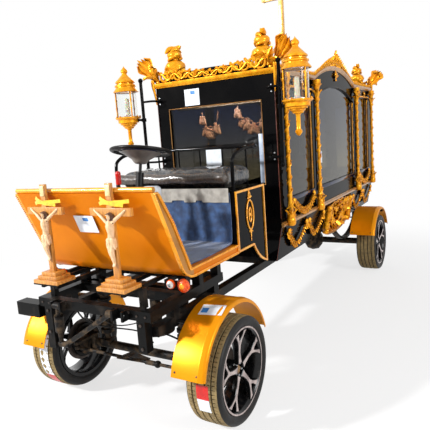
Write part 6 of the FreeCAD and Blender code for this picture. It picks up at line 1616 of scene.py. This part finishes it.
def make_labels():
    """Blank white labels with a plain blue patch, and a strip of grey-blue film beside the seat."""
    shape = bmesh.new()
    lean = math.atan2(160, 398)
    glass_y = body_half - wall / 2 + 3.4
    dash_x = 212 + 22 + (1112 - 872) * math.tan(lean)
    labels = [(at(body_front + 0.6, -170, 1802), 126, 118, 0.3),
              (at(body_front - 10.6, -28, 1356), 128, 120, 0.0),
              (at(dash_x - 1.0, -30, 1112) @ turned(lean, "Y"), 132, 100, 0.28)]
    for x, z, wide, tall in ((-1950, 1268, 96, 96), (-3200, 1645, 84, 110)):
        labels.append((at(x, glass_y, z) @ turned(quarter_turn, "Z"), wide, tall, 0.5))
    for place, wide, tall, share in labels:
        stamp(shape, box_part((0.8, wide, tall)), place)
        if share:
            patch = at(0.3, wide * 0.06, tall * 0.28)
            stamp(shape, box_part((1.0, wide * share, tall * share * 0.7)), place @ patch, 1)
    stamp(shape, box_part((1.2, 32, 340), 0.4), Vector((body_front - 10.6, 358, 1332)), 2)
    piece("blank_labels", shape, [white_film, blue_film, grey_film])


def make_drapes():
    """Copper cord festoons with clusters of tassels, hung inside the glass of the front window."""
    shape = bmesh.new()
    skirt = [(0, 0), (5, -2), (11, -12), (7, -20), (12, -30), (19, -66), (15, -74), (0, -76)]
    tassel = lathe(softened(skirt, 1), 14)
    chance = random.Random(9)
    x = body_front - wall - 82
    for points in ([(140, 1722), (158, 1650), (190, 1610), (225, 1628), (250, 1590), (292, 1572), (330, 1604),
                    (348, 1660), (362, 1722)],
                   [(-160, 1690), (-150, 1610), (-120, 1572), (-90, 1590), (-66, 1560), (-40, 1600),
                    (-20, 1690)]):
        line = softened([(x, y, z) for y, z in points], 2)
        shares = [0.75 + 0.35 * math.sin(index * 1.9) for index in range(len(line))]
        stamp(shape, tubes([(line, shares)], 4.5, 3))
        for index in range(2, len(line) - 2, 5):
            size = chance.uniform(0.75, 1.15)
            for shift in (-16, 0, 16):
                spot = line[index] + Vector((2, shift, -4 - chance.uniform(0, 22)))
                stamp(shape, tassel, at(spot) @ Matrix.Scale(size, 4))
    stamp(shape, rod_part(8, 750), at(x, -375, 1726) @ turned(-quarter_turn, "X"), 1)
    piece("window_festoons", shape, [copper_cord, bronze_strip])


def make_bolts():
    """Hexagon bolt heads on the brackets of the frame, beam, poles and hinges."""
    shape = bmesh.new()
    bolt = lathe([(0, 0), (9, 0), (9, 6), (7, 8), (0, 8)], 6)
    small = lathe([(0, 0), (6, 0), (6, 4), (4.5, 6), (0, 6)], 6)
    beam = 397
    spots = [(bolt, 0, beam, y, z) for y, z in ((172, 700), (248, 700), (317, 520), (317, 640))]
    spots += [(small, 1, body_front, 460, level + shift) for level in (1345, 1800) for shift in (-22, 22)]
    spots += [(small, 0, beam, 300, 686), (small, 0, beam, 350, 686)]
    for side in (1, -1):
        for part, slot, x, y, z in spots:
            stamp(shape, part, at(x, side * y, z) @ turned(quarter_turn, "Y"), slot)
    piece("hexagon_bolts", shape, [disc_steel, bolt_zinc], crease=30)


# Camera, floor and light

def make_camera():
    """The camera, placed and turned as the photograph was taken."""
    place = Vector((axle_x + 2.104, 1.773, 1.502))
    heading, pitch, roll = math.radians(30.386), math.radians(9.097), math.radians(-4.147)
    data = bpy.data.cameras.new("camera")
    data.lens = 40.65
    data.sensor_width = 36
    camera = bpy.data.objects.new("camera", data)
    turn = turned(heading + quarter_turn, "Z") @ turned(quarter_turn - pitch, "X")
    camera.matrix_world = at(place) @ turn @ turned(roll, "Z")
    bpy.context.scene.collection.objects.link(camera)
    bpy.context.scene.camera = camera


def seen_share(tree):
    """1 for rays from the camera, off gloss or through glass, and 0 for the light on surfaces."""
    path = add(tree, "LightPath")
    seen = add(tree, "Math", {0: path.outputs["Is Camera Ray"], 1: path.outputs["Is Glossy Ray"]},
               operation="MAXIMUM")
    return add(tree, "Math", {0: seen.outputs[0], 1: path.outputs["Is Transmission Ray"]},
               operation="MAXIMUM").outputs[0]


def make_floor():
    """A wide pale floor, white to the camera apart from the vehicle's soft shadow."""
    sheet = bmesh.new()
    bmesh.ops.create_grid(sheet, x_segments=1, y_segments=1, size=40)
    floor = as_object(sheet, "floor")
    material, tree, shader, place = new_finish("pale_floor", Roughness=0.9, Base_Color=colour("f4f4f4"))
    far = add(tree, "VectorMath", {0: place}, operation="LENGTH").outputs["Value"]
    near = add(tree, "MapRange",
               {"Value": far, "From Min": 2.0, "From Max": 4.2, "To Min": 0.72, "To Max": 1.0},
               interpolation_type="SMOOTHSTEP")
    share = add(tree, "Math", {0: near.outputs[0], 1: seen_share(tree)}, operation="MULTIPLY")
    white = add(tree, "Emission", {"Color": colour("ffffff"), "Strength": 1.0})
    mixed = add(tree, "MixShader", {0: share.outputs[0], 1: shader.outputs[0], 2: white.outputs[0]})
    output = [node for node in tree.nodes if node.type == "OUTPUT_MATERIAL"][0]
    tree.links.new(mixed.outputs[0], output.inputs["Surface"])
    floor.data.materials.append(material)


def make_world():
    """An even white surround, brighter to the camera than as a light."""
    world = bpy.data.worlds.new("studio")
    bpy.context.scene.world = world
    world.use_nodes = True
    tree = world.node_tree
    tree.nodes.clear()
    strength = add(tree, "MapRange", {"Value": seen_share(tree), "To Min": 0.3, "To Max": 1.0})
    back = add(tree, "Background", {"Color": colour("ffffff"), "Strength": strength.outputs[0]})
    add(tree, "OutputWorld", {"Surface": back.outputs[0]})


def make_lights():
    """Four panels: a small strong key from the photograph's upper left, two wide fills, one inside."""
    for name, place, aim, size, power in (
            ("key", (7.5, -5.0, 5.0), (0, 0, 1.0), 0.5, 1250),
            ("fill", (2.5, 6.0, 3.5), (0, 0, 1.0), 2.5, 290),
            ("back", (-6.0, -3.0, 4.5), (0, 0, 1.0), 4.0, 140),
            ("inside", (axle_x - 1.045, 0.1, 1.8), (axle_x - 1.11, 0.1, 1.6), 0.6, 10)):
        data = bpy.data.lights.new(name, "AREA")
        data.energy = power
        data.size = size
        if name == "inside":
            data.shape = "RECTANGLE"
            data.size_y = 0.02
        lamp = bpy.data.objects.new(name, data)
        lamp.location = place
        lamp.rotation_euler = (Vector(aim) - lamp.location).to_track_quat("-Z", "Y").to_euler()
        lamp.visible_camera = lamp.visible_transmission = False
        bpy.context.scene.collection.objects.link(lamp)


make_tyres()
make_rims()
make_brakes()
make_fenders()
make_columns()
make_mouldings()
make_cresting()
make_corner_leaves()
make_roof_ornaments()
make_lanterns()
make_carvings()
make_cab_trim()
make_seat_rail()
make_carpet()
make_cushion()
make_painted_sunlit_band()
make_hand_wheel()
make_controls()
make_lamps()
make_crosses()
make_figures()
make_labels()
make_drapes()
make_bolts()
make_brake_lines()

make_camera()
make_floor()
make_world()
make_lights()
bpy.context.scene.view_settings.view_transform = "Standard"
